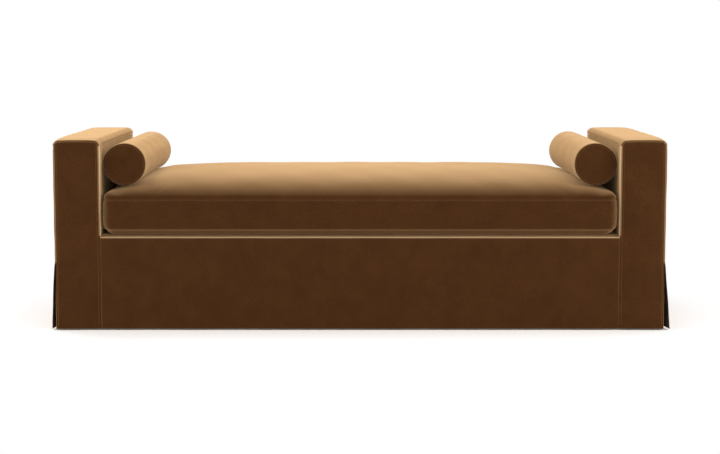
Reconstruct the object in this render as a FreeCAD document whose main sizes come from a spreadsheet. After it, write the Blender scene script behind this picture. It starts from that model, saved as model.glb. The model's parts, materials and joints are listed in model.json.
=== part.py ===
import FreeCAD, Part

import math
import os

import Sketcher

# A backless divan: a hardwood box frame with two upholstered arms, a loose velvet slipcover to the
# floor, one boxed seat cushion and two round bolsters. Millimetres, +X to the sitter's left as seen
# from the front, front face at -Y, +Z up, origin on the floor under the middle.

doc = FreeCAD.newDocument("backless_divan")
sheet = doc.addObject("Spreadsheet::Sheet", "Sizes")

DRIVING_SIZES = {
    # outside of the slipcover
    "overall_wide": 2134,
    "overall_deep": 889,
    "overall_tall": 669,
    "arm_thick": 161,
    "deck_tall": 333,
    "hem_clear": 8,
    # slipcover cloth and its kick pleats
    "cloth_thick": 2,
    "cover_ease": 0.3,
    "arm_corner_radius": 15,
    "deck_edge_radius": 9,
    "turned_edge": 5,
    "pleat_tall": 230,
    "pleat_leg": 90,
    "pleat_room": 0.6,
    "slit_inset": 5,
    "skirt_flare": 21,
    "flare_run": 160,
    # padding
    "wrap_foam_thick": 14,
    "deck_foam_thick": 26,
    "felt_thick": 3,
    # webbing
    "web_wide": 60,
    "web_thick": 1.5,
    "web_gap": 0.2,
    "web_end_margin": 3,
    "cross_pitch": 145,
    "long_pitch": 200,
    # timber frame
    "rail_thick": 25,
    "post_wide": 40,
    "panel_thick": 12,
    "board_thick": 18,
    "deck_end_tall": 98,
    "stretcher_pitch": 448,
    "stretcher_drop": 10,
    "stretcher_dip": 34,
    "dip_shoulder": 90,
    "tab_tall": 60,
    "slot_clear": 0.2,
    "rib_place": 135,
    "rib_margin": 26,
    "block_side": 60,
    "block_tall": 60,
    "cambric_thick": 1,
    "cambric_clear": 1,
    # legs and fixings
    "leg_tall": 120,
    "leg_top_side": 60,
    "leg_foot_side": 44,
    "glide_radius": 16,
    "glide_thick": 6,
    "bolt_radius": 4,
    "bolt_in_leg": 35,
    "bolt_in_frame": 40,
    "screw_long": 55,
    "screw_radius": 2.5,
    "screw_offset": 11,
    "screw_edge": 30,
    # seat cushion
    "seat_side_gap": 9,
    "seat_front_gap": 8,
    "seat_ease": 0.3,
    "seat_bottom_seam": 15.7,
    "boxing_tall": 108,
    "bottom_draw": 14,
    "crown_tall": 91.4,
    "seat_corner_radius": 25,
    "core_tall": 110,
    "core_inset": 30,
    # bolsters
    "bolster_radius": 74,
    "bolster_long": 796,
    "bolster_side_gap": 7,
    "bolster_settle": 43.5,
    "bolster_ease": 0.85,
    "fill_ease": 0.3,
    # zips
    "zip_wide": 8,
    "zip_thick": 1.7,
    "zip_clear": 0.2,
    "seat_zip_inset": 147,
    "bolster_zip_inset": 98,
    "slider_long": 10,
    "slider_wide": 8,
    "slider_thick": 3,
    "slider_nose": 3,
    "slider_lift": 0.3,
}

for row, (alias, size) in enumerate(DRIVING_SIZES.items(), start=1):
    sheet.set(f"A{row}", alias)
    sheet.set(f"B{row}", str(size))
    sheet.setAlias(f"B{row}", alias)
doc.recompute()

NODES = []
SIDES = {"left": -1, "right": 1}
ENDS = {"front": -1, "back": 1}


# Expressions

def minus(text):
    return f"-({text})"


def signed(sign, text):
    return text if sign > 0 else minus(text)


def span(sign, near, far):
    """The pair (low, high) of a stretch that runs from near to far, away from the middle."""
    return (near, far) if sign > 0 else (minus(far), minus(near))


def about(middle, half):
    return (f"{middle} - ({half})", f"{middle} + ({half})")


def number(text):
    return float(sheet.evalExpression(text))


# Building blocks

def node(thing, label):
    """Names a finished sub-part and puts it on the list that is written out."""
    thing.Label = label
    NODES.append(thing)
    return thing


def slab(name, x, y, z):
    """A plain board or sheet between two expressions along each axis."""
    box = doc.addObject("Part::Box", name)
    for size, base, (low, high) in (("Length", "x", x), ("Width", "y", y), ("Height", "z", z)):
        box.setExpression(size, f"({high}) - ({low})")
        box.setExpression(f"Placement.Base.{base}", low)
    return box


def rectangle(across, up):
    (a, b), (c, d) = across, up
    return [(a, c), (b, c), (b, d), (a, d)]


def sketch(body, name, role, level, loops=(), circles=()):
    """A constrained sketch parallel to an origin plane; level is its place along the row's axis."""
    drawing = body.newObject("Sketcher::SketchObject", name)
    plane = [part for part in body.Origin.OriginFeatures if part.Role == role][0]
    drawing.AttachmentSupport = [(plane, "")]
    drawing.MapMode = "FlatFace"
    offset = minus(level) if role == "XZ_Plane" else level
    drawing.setExpression("AttachmentOffset.Base.z", offset)
    for loop in loops:
        corners = [FreeCAD.Vector(number(a), number(b), 0) for a, b in loop]
        first = drawing.GeometryCount
        count = len(corners)
        for k in range(count):
            drawing.addGeometry(Part.LineSegment(corners[k], corners[(k + 1) % count]))
        for k in range(count):
            following = first + (k + 1) % count
            drawing.addConstraint(Sketcher.Constraint("Coincident", first + k, 2, following, 1))
        for k, (a, b) in enumerate(loop):
            pin(drawing, "DistanceX", first + k, 1, corners[k].x, a)
            pin(drawing, "DistanceY", first + k, 1, corners[k].y, b)
    for a, b, radius in circles:
        middle = FreeCAD.Vector(number(a), number(b), 0)
        ring = drawing.addGeometry(Part.Circle(middle, FreeCAD.Vector(0, 0, 1), number(radius)))
        pin(drawing, "DistanceX", ring, 3, middle.x, a)
        pin(drawing, "DistanceY", ring, 3, middle.y, b)
        index = drawing.addConstraint(Sketcher.Constraint("Radius", ring, number(radius)))
        drawing.setExpression(f"Constraints[{index}]", radius)
    return drawing


def pin(drawing, kind, geometry, point, value, text):
    """Holds one coordinate of a sketch point to an expression, measured from the sketch's origin."""
    index = drawing.addConstraint(Sketcher.Constraint(kind, -1, 1, geometry, point, value))
    drawing.setExpression(f"Constraints[{index}]", text)


def pad(body, name, role, along, loops=(), circles=()):
    """Adds the outline as a solid between the two expressions in along."""
    start, end = along
    level = end if role == "XZ_Plane" else start
    drawing = sketch(body, f"{name}_outline", role, level, loops, circles)
    feature = body.newObject("PartDesign::Pad", name)
    feature.Profile = drawing
    feature.setExpression("Length", f"({end}) - ({start})")
    doc.recompute()
    return feature


def pocket(body, name, role, along, loops=(), circles=()):
    """Removes the outline between the two expressions in along."""
    start, end = along
    level = start if role == "XZ_Plane" else end
    drawing = sketch(body, f"{name}_outline", role, level, loops, circles)
    feature = body.newObject("PartDesign::Pocket", name)
    feature.Profile = drawing
    feature.setExpression("Length", f"({end}) - ({start})")
    doc.recompute()
    return feature


def prism(name, role, along, loops=(), circles=()):
    body = doc.addObject("PartDesign::Body", name)
    pad(body, f"{name}_pad", role, along, loops, circles)
    return body


def round_edges(body, name, base, radius, wanted):
    """Rounds each edge of base whose middle point passes the test in wanted."""
    names = []
    for index, edge in enumerate(base.Shape.Edges, start=1):
        low, high = edge.ParameterRange
        if wanted(edge.valueAt((low + high) / 2), edge):
            names.append(f"Edge{index}")
    feature = body.newObject("PartDesign::Fillet", name)
    feature.Base = (base, names)
    feature.setExpression("Radius", radius)
    doc.recompute()
    return feature


def runs_along(edge, axis):
    direction = edge.tangentAt(edge.ParameterRange[0])
    return abs(abs(getattr(direction, axis)) - 1) < 1e-6


def group(label, pieces):
    """Like pieces that share one sub-part, each still a solid of its own."""
    compound = doc.addObject("Part::Compound", f"{label}_group")
    compound.Links = pieces
    return node(compound, label)


# Main planes, measured out from the middle or up from the floor
CLOTH = "Sizes.cloth_thick"
HALF_WIDE = "(Sizes.overall_wide / 2)"
HALF_DEEP = "(Sizes.overall_deep / 2)"
ARM_IN = f"({HALF_WIDE} - Sizes.arm_thick)"
TOP = "Sizes.overall_tall"
DECK = "Sizes.deck_tall"
HEM = "Sizes.hem_clear"

FOAM_OUT = f"({HALF_WIDE} - 2 * {CLOTH} - Sizes.pleat_room)"
FOAM_FRONT = f"({HALF_DEEP} - 2 * {CLOTH} - Sizes.pleat_room)"
FOAM_IN = f"({ARM_IN} + {CLOTH} + Sizes.cover_ease)"
FOAM_TOP = f"({TOP} - {CLOTH} - Sizes.cover_ease)"
DECK_FOAM_TOP = f"({DECK} - {CLOTH} - Sizes.cover_ease)"
DECK_FOAM_LOW = f"({DECK_FOAM_TOP} - Sizes.deck_foam_thick)"
FELT_LOW = f"({DECK_FOAM_LOW} - Sizes.felt_thick)"

FRAME_OUT = f"({FOAM_OUT} - Sizes.wrap_foam_thick)"
FRAME_FRONT = f"({FOAM_FRONT} - Sizes.wrap_foam_thick)"
FRAME_IN = f"({FOAM_IN} + Sizes.wrap_foam_thick)"
FRAME_TOP = f"({FOAM_TOP} - Sizes.wrap_foam_thick)"
RAIL_TOP = f"({FELT_LOW} - 2 * Sizes.web_thick - 2 * Sizes.web_gap)"
RAIL_LOW = "Sizes.leg_tall"
RAIL_IN = f"({FRAME_FRONT} - Sizes.rail_thick)"
PANEL_FACE = f"({FRAME_OUT} - Sizes.panel_thick)"
BOARD_LOW = f"({FRAME_TOP} - Sizes.board_thick)"


# Base frame: long rails with slots, and cross members whose end tabs pass through them

DECK_END_LOW = f"({RAIL_TOP} - Sizes.deck_end_tall)"
DECK_END_TAB = f"({RAIL_TOP} - Sizes.deck_end_tall / 2)"
DECK_END_MIDDLE = f"({FRAME_IN} - Sizes.rail_thick / 2)"
STRETCHER_TOP = f"({RAIL_TOP} - Sizes.stretcher_drop)"
STRETCHER_TAB = f"(({RAIL_LOW} + {STRETCHER_TOP}) / 2)"
SIDE_TAB = f"(({RAIL_LOW} + {RAIL_TOP}) / 2)"
HALF_TAB = "(Sizes.tab_tall / 2)"
HALF_SLOT = "(Sizes.tab_tall / 2 + Sizes.slot_clear)"
SLOT_HALF_WIDE = "(Sizes.rail_thick / 2 + Sizes.slot_clear)"
STRETCHER_PLACES = [minus("Sizes.stretcher_pitch"), "0", "Sizes.stretcher_pitch"]


def slot(middle, height):
    return rectangle(about(middle, SLOT_HALF_WIDE), about(height, HALF_SLOT))


def long_rail(end):
    rail_ends = (minus(PANEL_FACE), PANEL_FACE)
    loops = [rectangle(rail_ends, (RAIL_LOW, RAIL_TOP))]
    for place in STRETCHER_PLACES:
        loops.append(slot(place, STRETCHER_TAB))
    for sign in SIDES.values():
        loops.append(slot(signed(sign, DECK_END_MIDDLE), DECK_END_TAB))
    label = f"{end}_rail"
    body = prism(f"{label}_body", "XZ_Plane", span(ENDS[end], RAIL_IN, FRAME_FRONT), loops)
    return node(body, label)


def tabbed_board(low, high, tab, shoulder, tip, dip=None):
    """Outline in the YZ plane of a cross board with a tab on each end, and an optional dipped top."""
    tab_low, tab_high = about(tab, HALF_TAB)
    right_edge = [(shoulder, low), (shoulder, tab_low), (tip, tab_low), (tip, tab_high),
                  (shoulder, tab_high), (shoulder, high)]
    if dip:
        inset, lowered = dip
        right_edge.append((f"{shoulder} - {inset}", high))
        right_edge.append((f"{shoulder} - 2 * {inset}", lowered))
    left_edge = [(minus(a), b) for a, b in reversed(right_edge)]
    return right_edge + left_edge


def side_rail(side):
    low, high = span(SIDES[side], f"{PANEL_FACE} - Sizes.rail_thick", PANEL_FACE)
    outline = tabbed_board(RAIL_LOW, RAIL_TOP, SIDE_TAB, f"({RAIL_IN} - Sizes.post_wide)", RAIL_IN)
    label = f"side_rail_{side}"
    return node(prism(f"{label}_body", "YZ_Plane", (low, high), [outline]), label)


def deck_end_rails():
    """The two cross members at the arms' inner faces, which hold the ends of the long straps."""
    outline = tabbed_board(DECK_END_LOW, RAIL_TOP, DECK_END_TAB, RAIL_IN, FRAME_FRONT)
    body = doc.addObject("PartDesign::Body", "deck_end_rails_body")
    for side, sign in SIDES.items():
        along = span(sign, f"{FRAME_IN} - Sizes.rail_thick", FRAME_IN)
        pad(body, f"deck_end_rail_{side}", "YZ_Plane", along, [outline])
    return node(body, "deck_end_rails")


def cross_stretchers():
    """Three stretchers, their tops dipped so that the webbing can sag under a sitter."""
    body = doc.addObject("PartDesign::Body", "cross_stretchers_body")
    dip = ("Sizes.dip_shoulder", f"({STRETCHER_TOP} - Sizes.stretcher_dip)")
    outline = tabbed_board(RAIL_LOW, STRETCHER_TOP, STRETCHER_TAB, RAIL_IN, FRAME_FRONT, dip)
    for index, place in enumerate(STRETCHER_PLACES):
        along = about(place, "Sizes.rail_thick / 2")
        pad(body, f"stretcher_{index}", "YZ_Plane", along, [outline])
    return node(body, "cross_stretchers")


def corner_blocks():
    """Triangular glue blocks in the corners between the stretchers and the long rails."""
    loops = []
    for place in STRETCHER_PLACES:
        for side in SIDES.values():
            for end in ENDS.values():
                x = f"({place} + {signed(side, 'Sizes.rail_thick / 2')})"
                y = signed(end, RAIL_IN)
                loops.append([
                    (x, y),
                    (f"{x} + {signed(side, 'Sizes.block_side')}", y),
                    (x, f"{y} + {signed(-end, 'Sizes.block_side')}"),
                ])
    height = (RAIL_LOW, f"{RAIL_LOW} + Sizes.block_tall")
    return node(prism("corner_blocks_body", "XY_Plane", height, loops), "corner_blocks")


# Leg and hanger bolt places: under the corner posts and under the middle stretcher
LEG_X = f"({PANEL_FACE} - Sizes.post_wide / 2)"
LEG_Y = f"({RAIL_IN} - Sizes.post_wide / 2)"
LEG_PLACES = [(x, y) for x in (minus(LEG_X), "0", LEG_X) for y in (minus(LEG_Y), LEG_Y)]

for end in ENDS:
    long_rail(end)
for side in SIDES:
    side_rail(side)
deck_end_rails()
cross_stretchers()
corner_blocks()


# Arm frames: corner posts notched over the side rails, boxed in with boards and panels

def arm_posts():
    body = doc.addObject("PartDesign::Body", "arm_posts_body")
    loops = []
    for side in SIDES.values():
        for end in ENDS.values():
            across = span(side, f"({PANEL_FACE} - Sizes.post_wide)", PANEL_FACE)
            deep = span(end, f"({RAIL_IN} - Sizes.post_wide)", RAIL_IN)
            loops.append(rectangle(across, deep))
    pad(body, "posts", "XY_Plane", (RAIL_LOW, BOARD_LOW), loops)
    notches = []
    for side in SIDES.values():
        inner = f"({PANEL_FACE} - Sizes.rail_thick - Sizes.slot_clear)"
        notches.append(rectangle(span(side, inner, PANEL_FACE), about(SIDE_TAB, HALF_SLOT)))
    pocket(body, "rail_notches", "XZ_Plane", (minus(RAIL_IN), RAIL_IN), notches)
    return node(body, "arm_posts")


def arm_end_boards(side):
    """The boards that close the front and back of one arm, standing on the long rails."""
    for end in ENDS:
        board = slab(
            f"arm_{end}_board_{side}_box",
            span(SIDES[side], FRAME_IN, PANEL_FACE),
            span(ENDS[end], RAIL_IN, FRAME_FRONT),
            (RAIL_TOP, FRAME_TOP),
        )
        node(board, f"arm_{end}_board_{side}")


def arm_panels(side):
    sign = SIDES[side]
    inside_board = (minus(RAIL_IN), RAIL_IN)
    outer = slab(
        f"arm_outer_panel_{side}_box",
        span(sign, PANEL_FACE, FRAME_OUT),
        (minus(FRAME_FRONT), FRAME_FRONT),
        (RAIL_LOW, FRAME_TOP),
    )
    inner = slab(
        f"arm_inner_panel_{side}_box",
        span(sign, FRAME_IN, f"({FRAME_IN} + Sizes.panel_thick)"),
        inside_board,
        (DECK_END_LOW, BOARD_LOW),
    )
    top = slab(
        f"arm_top_board_{side}_box",
        span(sign, FRAME_IN, PANEL_FACE),
        inside_board,
        (BOARD_LOW, FRAME_TOP),
    )
    node(outer, f"arm_outer_panel_{side}")
    node(inner, f"arm_inner_panel_{side}")
    node(top, f"arm_top_board_{side}")


def arm_ribs():
    """Plywood ribs between the arm panels, standing on the side rails, each with two windows."""
    body = doc.addObject("PartDesign::Body", "arm_ribs_body")
    inner = f"({FRAME_IN} + Sizes.panel_thick)"
    loops = []
    for side in SIDES.values():
        loops.append(rectangle(span(side, inner, PANEL_FACE), (RAIL_TOP, BOARD_LOW)))
        across = span(side, f"({inner} + Sizes.rib_margin)", f"({PANEL_FACE} - Sizes.rib_margin)")
        middle = f"(({RAIL_TOP} + {BOARD_LOW}) / 2)"
        low_window = (f"{RAIL_TOP} + Sizes.rib_margin", f"{middle} - Sizes.rib_margin / 2")
        high_window = (f"{middle} + Sizes.rib_margin / 2", f"{BOARD_LOW} - Sizes.rib_margin")
        loops.append(rectangle(across, low_window))
        loops.append(rectangle(across, high_window))
    for end, sign in ENDS.items():
        along = about(signed(sign, "Sizes.rib_place"), "Sizes.board_thick / 2")
        pad(body, f"ribs_{end}", "XZ_Plane", along, loops)
    return node(body, "arm_ribs")


arm_posts()
for side in SIDES:
    arm_end_boards(side)
    arm_panels(side)
arm_ribs()


# Webbing: cross straps on the long rails, and lengthwise straps woven over and under them

CROSS_STRAPS = 12
LONG_STRAPS = 3


def cross_place(index):
    return f"({index - (CROSS_STRAPS - 1) / 2} * Sizes.cross_pitch)"


def cross_webbing():
    ends = f"({FRAME_FRONT} - Sizes.web_end_margin)"
    loops = []
    for index in range(CROSS_STRAPS):
        across = about(cross_place(index), "Sizes.web_wide / 2")
        loops.append(rectangle(across, (minus(ends), ends)))
    height = (RAIL_TOP, f"{RAIL_TOP} + Sizes.web_thick")
    return node(prism("cross_webbing_body", "XY_Plane", height, loops), "cross_webbing")


def long_webbing():
    body = doc.addObject("PartDesign::Body", "long_webbing_body")
    over = f"({RAIL_TOP} + Sizes.web_thick + Sizes.web_gap)"
    under = f"({RAIL_TOP} - Sizes.web_thick - Sizes.web_gap)"
    tip = f"({FRAME_IN} - Sizes.web_end_margin)"
    grip = f"({FRAME_IN} - Sizes.rail_thick)"
    for strap in range(LONG_STRAPS):
        lower = [(minus(tip), RAIL_TOP), (minus(grip), RAIL_TOP)]
        for index in range(CROSS_STRAPS):
            level = over if (strap + index) % 2 else under
            edge = "(Sizes.web_wide / 2 + 2 * Sizes.web_thick)"
            for place in about(cross_place(index), edge):
                lower.append((place, level))
        lower += [(grip, RAIL_TOP), (tip, RAIL_TOP)]
        upper = [(a, f"{b} + Sizes.web_thick") for a, b in reversed(lower)]
        middle = f"({strap - (LONG_STRAPS - 1) / 2} * Sizes.long_pitch)"
        along = about(middle, "Sizes.web_wide / 2")
        pad(body, f"long_strap_{strap}", "XZ_Plane", along, [lower + upper])
    return node(body, "long_webbing")


cross_webbing()
long_webbing()


# Padding: felt over the webbing, foam over the deck, the rails and each arm

def deck_padding():
    full_wide = (minus(f"({FOAM_IN} - Sizes.cover_ease)"), f"({FOAM_IN} - Sizes.cover_ease)")
    felt = slab(
        "deck_felt_box",
        full_wide,
        (minus(FRAME_FRONT), FRAME_FRONT),
        (FELT_LOW, DECK_FOAM_LOW),
    )
    node(felt, "deck_felt")
    body = doc.addObject("PartDesign::Body", "deck_foam_body")
    outline = rectangle((minus(FOAM_FRONT), FOAM_FRONT), (DECK_FOAM_LOW, DECK_FOAM_TOP))
    block = pad(body, "deck_foam_block", "YZ_Plane", full_wide, [outline])
    height = number(DECK_FOAM_TOP)
    round_edges(
        body, "deck_foam_rounds", block, "Sizes.deck_edge_radius",
        lambda point, edge: runs_along(edge, "x") and abs(point.z - height) < 0.01,
    )
    node(body, "deck_foam")
    strips = []
    for end, sign in ENDS.items():
        strip = slab(
            f"rail_foam_{end}",
            full_wide,
            span(sign, FRAME_FRONT, FOAM_FRONT),
            (RAIL_LOW, DECK_FOAM_LOW),
        )
        strips.append(strip)
    group("rail_foam", strips)


def arm_foam(side):
    """Five foam sheets glued round one arm; the top sheet's long edges are rounded."""
    sign = SIDES[side]
    full_deep = (minus(FRAME_FRONT), FRAME_FRONT)
    across = span(sign, FOAM_IN, FOAM_OUT)
    outside = slab(
        f"arm_foam_outside_{side}", span(sign, FRAME_OUT, FOAM_OUT), full_deep, (RAIL_LOW, FRAME_TOP)
    )
    inside = slab(
        f"arm_foam_inside_{side}", span(sign, FOAM_IN, FRAME_IN), full_deep, (FELT_LOW, FRAME_TOP)
    )
    sheets = [outside, inside]
    for end, way in ENDS.items():
        facing = slab(
            f"arm_foam_{end}_{side}", across, span(way, FRAME_FRONT, FOAM_FRONT), (RAIL_LOW, FRAME_TOP)
        )
        sheets.append(facing)
    body = doc.addObject("PartDesign::Body", f"arm_foam_top_{side}")
    outline = rectangle(across, (FRAME_TOP, FOAM_TOP))
    block = pad(body, f"arm_foam_top_block_{side}", "XZ_Plane", (minus(FOAM_FRONT), FOAM_FRONT), [outline])
    height = number(FOAM_TOP)
    round_edges(
        body, f"arm_foam_top_rounds_{side}", block, f"Sizes.arm_corner_radius - {CLOTH}",
        lambda point, edge: runs_along(edge, "y") and abs(point.z - height) < 0.01,
    )
    sheets.append(body)
    group(f"arm_foam_{side}", sheets)


deck_padding()
for side in SIDES:
    arm_foam(side)


# Underside: cambric cloth cut round the legs, six block legs, their glides and hanger bolts

def dust_cover():
    margin = "Sizes.web_end_margin"
    outline = rectangle(
        (f"{margin} - {PANEL_FACE}", f"{PANEL_FACE} - {margin}"),
        (f"{margin} - {FRAME_FRONT}", f"{FRAME_FRONT} - {margin}"),
    )
    reach = "(Sizes.leg_top_side / 2 + Sizes.cambric_clear)"
    edge = f"({PANEL_FACE} - {margin})"
    loops = [rectangle(about("0", reach), about(signed(sign, LEG_Y), reach)) for sign in ENDS.values()]
    body = doc.addObject("PartDesign::Body", "dust_cover_body")
    height = (f"{RAIL_LOW} - Sizes.cambric_thick", RAIL_LOW)
    pad(body, "cambric", "XY_Plane", height, [outline])
    for side in SIDES.values():
        for end in ENDS.values():
            inner = f"({LEG_X} - {reach})"
            across = span(side, inner, f"({edge} + {margin})")
            loops.append(rectangle(across, about(signed(end, LEG_Y), reach)))
    pocket(body, "leg_openings", "XY_Plane", height, loops)
    return node(body, "dust_cover")


def legs():
    blocks = []
    for index, (x, y) in enumerate(LEG_PLACES):
        body = doc.addObject("PartDesign::Body", f"leg_{index}")
        foot = sketch(
            body, f"leg_foot_{index}", "XY_Plane", "Sizes.glide_thick",
            [rectangle(about(x, "Sizes.leg_foot_side / 2"), about(y, "Sizes.leg_foot_side / 2"))],
        )
        head = sketch(
            body, f"leg_head_{index}", "XY_Plane", RAIL_LOW,
            [rectangle(about(x, "Sizes.leg_top_side / 2"), about(y, "Sizes.leg_top_side / 2"))],
        )
        taper = body.newObject("PartDesign::AdditiveLoft", f"leg_taper_{index}")
        taper.Profile = foot
        taper.Sections = [head]
        taper.Ruled = True
        blocks.append(body)
    return group("legs", blocks)


def glides():
    circles = [(x, y, "Sizes.glide_radius") for x, y in LEG_PLACES]
    body = prism("leg_glides_body", "XY_Plane", ("0", "Sizes.glide_thick"), circles=circles)
    return node(body, "leg_glides")


def hanger_bolts():
    circles = [(x, y, "Sizes.bolt_radius") for x, y in LEG_PLACES]
    height = (f"{RAIL_LOW} - Sizes.bolt_in_leg", f"{RAIL_LOW} + Sizes.bolt_in_frame")
    return node(prism("leg_bolts_body", "XY_Plane", height, circles=circles), "leg_bolts")


def frame_screws():
    """Wood screws, two at each corner, through the long rails into the corner posts."""
    body = doc.addObject("PartDesign::Body", "frame_screws_body")
    circles = []
    for sign in SIDES.values():
        inward = signed(sign, f"({LEG_X} - Sizes.screw_offset)")
        for height in (f"{RAIL_LOW} + Sizes.screw_edge", f"{RAIL_TOP} - Sizes.screw_edge"):
            circles.append((inward, height, "Sizes.screw_radius"))
    for end, way in ENDS.items():
        along = span(way, f"({FRAME_FRONT} - Sizes.screw_long)", FRAME_FRONT)
        pad(body, f"screws_{end}", "XZ_Plane", along, circles=circles)
    return node(body, "frame_screws")


dust_cover()
legs()
glides()
hanger_bolts()
frame_screws()


# Slipcover: sewn velvet panels that lift off in one piece

ARCH_LEG = "(Sizes.arm_corner_radius + Sizes.turned_edge)"
ARM_TOP_LOW = f"({TOP} - {ARCH_LEG})"
DECK_TURN_LOW = f"({DECK} - Sizes.deck_edge_radius - Sizes.turned_edge)"
CLOTH_FRONT = f"({HALF_DEEP} - {CLOTH})"
CLOTH_OUT = f"({HALF_WIDE} - {CLOTH})"
PLEAT_TOP = f"({HEM} + Sizes.pleat_tall)"
FLARE_STEPS = 3


def turned_panel(name, role, along, across, low, high, radius, axis):
    """A panel whose two long edges turn down over rounded corners, as one folded cloth thickness."""
    body = doc.addObject("PartDesign::Body", name)
    block = pad(body, f"{name}_block", role, along, [rectangle(across, (low, high))])
    inner = (f"({across[0]} + {CLOTH})", f"({across[1]} - {CLOTH})")
    hollow = pocket(body, f"{name}_hollow", role, along, [rectangle(inner, (low, f"({high} - {CLOTH})"))])
    if hollow.Shape.Volume >= block.Shape.Volume:
        raise ValueError(f"{name} was not hollowed")
    levels = (("inner", f"({high} - {CLOTH})", f"{radius} - {CLOTH}"), ("outer", high, radius))
    base = hollow
    for face, level, bend in levels:
        height = number(level)
        base = round_edges(
            body, f"{name}_{face}_rounds", base, bend,
            lambda point, edge: runs_along(edge, axis) and abs(point.z - height) < 0.01,
        )
    return body


def deck_cover():
    body = turned_panel(
        "cover_deck_body", "YZ_Plane", (minus(ARM_IN), ARM_IN), (minus(HALF_DEEP), HALF_DEEP),
        DECK_TURN_LOW, DECK, "Sizes.deck_edge_radius", "x",
    )
    return node(body, "cover_deck")


def skirt_panels():
    for end, sign in ENDS.items():
        panel = slab(
            f"cover_{end}_box",
            (minus(ARM_IN), ARM_IN),
            span(sign, CLOTH_FRONT, HALF_DEEP),
            (HEM, DECK_TURN_LOW),
        )
        node(panel, f"cover_{end}")


def arm_top_cover(side):
    body = turned_panel(
        f"cover_arm_top_{side}_body", "XZ_Plane", (minus(CLOTH_FRONT), CLOTH_FRONT),
        span(SIDES[side], ARM_IN, HALF_WIDE), ARM_TOP_LOW, TOP, "Sizes.arm_corner_radius", "y",
    )
    return node(body, f"cover_arm_top_{side}")


def arm_end_covers(side):
    """The tall narrow panel on the front and on the back of one arm, rounded at its top corners."""
    sign = SIDES[side]
    slit = f"({HALF_WIDE} - Sizes.slit_inset)"
    outline = [
        (ARM_IN, HEM), (slit, HEM), (slit, PLEAT_TOP), (HALF_WIDE, PLEAT_TOP),
        (HALF_WIDE, TOP), (ARM_IN, TOP),
    ]
    loop = [(signed(sign, a), b) for a, b in outline]
    top = number(TOP)
    for end, way in ENDS.items():
        name = f"cover_arm_{end}_{side}"
        body = doc.addObject("PartDesign::Body", f"{name}_body")
        sheet_pad = pad(body, f"{name}_pad", "XZ_Plane", span(way, CLOTH_FRONT, HALF_DEEP), [loop])
        round_edges(
            body, f"{name}_corners", sheet_pad, "Sizes.arm_corner_radius",
            lambda point, edge: runs_along(edge, "y") and abs(point.z - top) < 0.01,
        )
        node(body, name)


def arm_inside_cover(side):
    panel = slab(
        f"cover_arm_inside_{side}_box",
        span(SIDES[side], ARM_IN, f"({ARM_IN} + {CLOTH})"),
        (minus(CLOTH_FRONT), CLOTH_FRONT),
        (f"{DECK} - {CLOTH}", ARM_TOP_LOW),
    )
    return node(panel, f"cover_arm_inside_{side}")


def flared_section(sign, flare):
    """A thin strip in plan whose ends swing outward by flare, as a parabola over flare_run."""
    outer = []
    for step in range(FLARE_STEPS + 1):
        share = 1 - step / FLARE_STEPS
        x = f"({HALF_WIDE} + {flare} * {share ** 2})"
        y = f"({CLOTH_FRONT} - Sizes.flare_run * {1 - share})"
        outer.append((x, y))
    outer += [(x, minus(y)) for x, y in reversed(outer)]
    inner = [(f"{x} - {CLOTH}", y) for x, y in reversed(outer)]
    return [(signed(sign, x), y) for x, y in outer + inner]


def arm_outside_cover(side):
    """The outer panel: flat to the top of the pleats, then flaring outward at both hem corners."""
    sign = SIDES[side]
    name = f"cover_arm_outside_{side}"
    body = doc.addObject("PartDesign::Body", f"{name}_body")
    hem = sketch(
        body, f"{name}_hem", "XY_Plane", HEM, [flared_section(sign, "Sizes.skirt_flare")]
    )
    fold = sketch(body, f"{name}_fold", "XY_Plane", PLEAT_TOP, [flared_section(sign, "0")])
    skirt = body.newObject("PartDesign::AdditiveLoft", f"{name}_skirt")
    skirt.Profile = hem
    skirt.Sections = [fold]
    skirt.Ruled = True
    doc.recompute()
    upper = rectangle(span(sign, CLOTH_OUT, HALF_WIDE), (minus(CLOTH_FRONT), CLOTH_FRONT))
    pad(body, f"{name}_upper", "XY_Plane", (PLEAT_TOP, ARM_TOP_LOW), [upper])
    return node(body, name)


def kick_pleats():
    """An L-shaped backing behind the slit at each corner, closing it when the skirt opens."""
    loops = []
    for side in SIDES.values():
        for end in ENDS.values():
            inner_x = f"({CLOTH_OUT} - {CLOTH})"
            inner_y = f"({CLOTH_FRONT} - {CLOTH})"
            reach_x = f"({CLOTH_OUT} - Sizes.pleat_leg)"
            reach_y = f"({CLOTH_FRONT} - Sizes.pleat_leg)"
            outline = [
                (CLOTH_OUT, CLOTH_FRONT), (reach_x, CLOTH_FRONT), (reach_x, inner_y),
                (inner_x, inner_y), (inner_x, reach_y), (CLOTH_OUT, reach_y),
            ]
            loops.append([(signed(side, a), signed(end, b)) for a, b in outline])
    return node(prism("kick_pleats_body", "XY_Plane", (HEM, PLEAT_TOP), loops), "kick_pleats")


deck_cover()
skirt_panels()
for side in SIDES:
    arm_top_cover(side)
    arm_end_covers(side)
    arm_inside_cover(side)
    arm_outside_cover(side)
kick_pleats()


# Seat cushion: a crowned boxed cover, pressed down where the bolsters lie, over fibre and foam

CROWN_POWER_ALONG = 5.15
CROWN_POWER_ACROSS = 2.8
CROWN_STEPS = 7
HOLLOW_STEPS = 10
HOLLOW_REACH = 0.8
CORNER_ANGLES = (0, 45, 90)
DEPTH_SHARES = (0.85, 0.65, 0.35)

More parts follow.
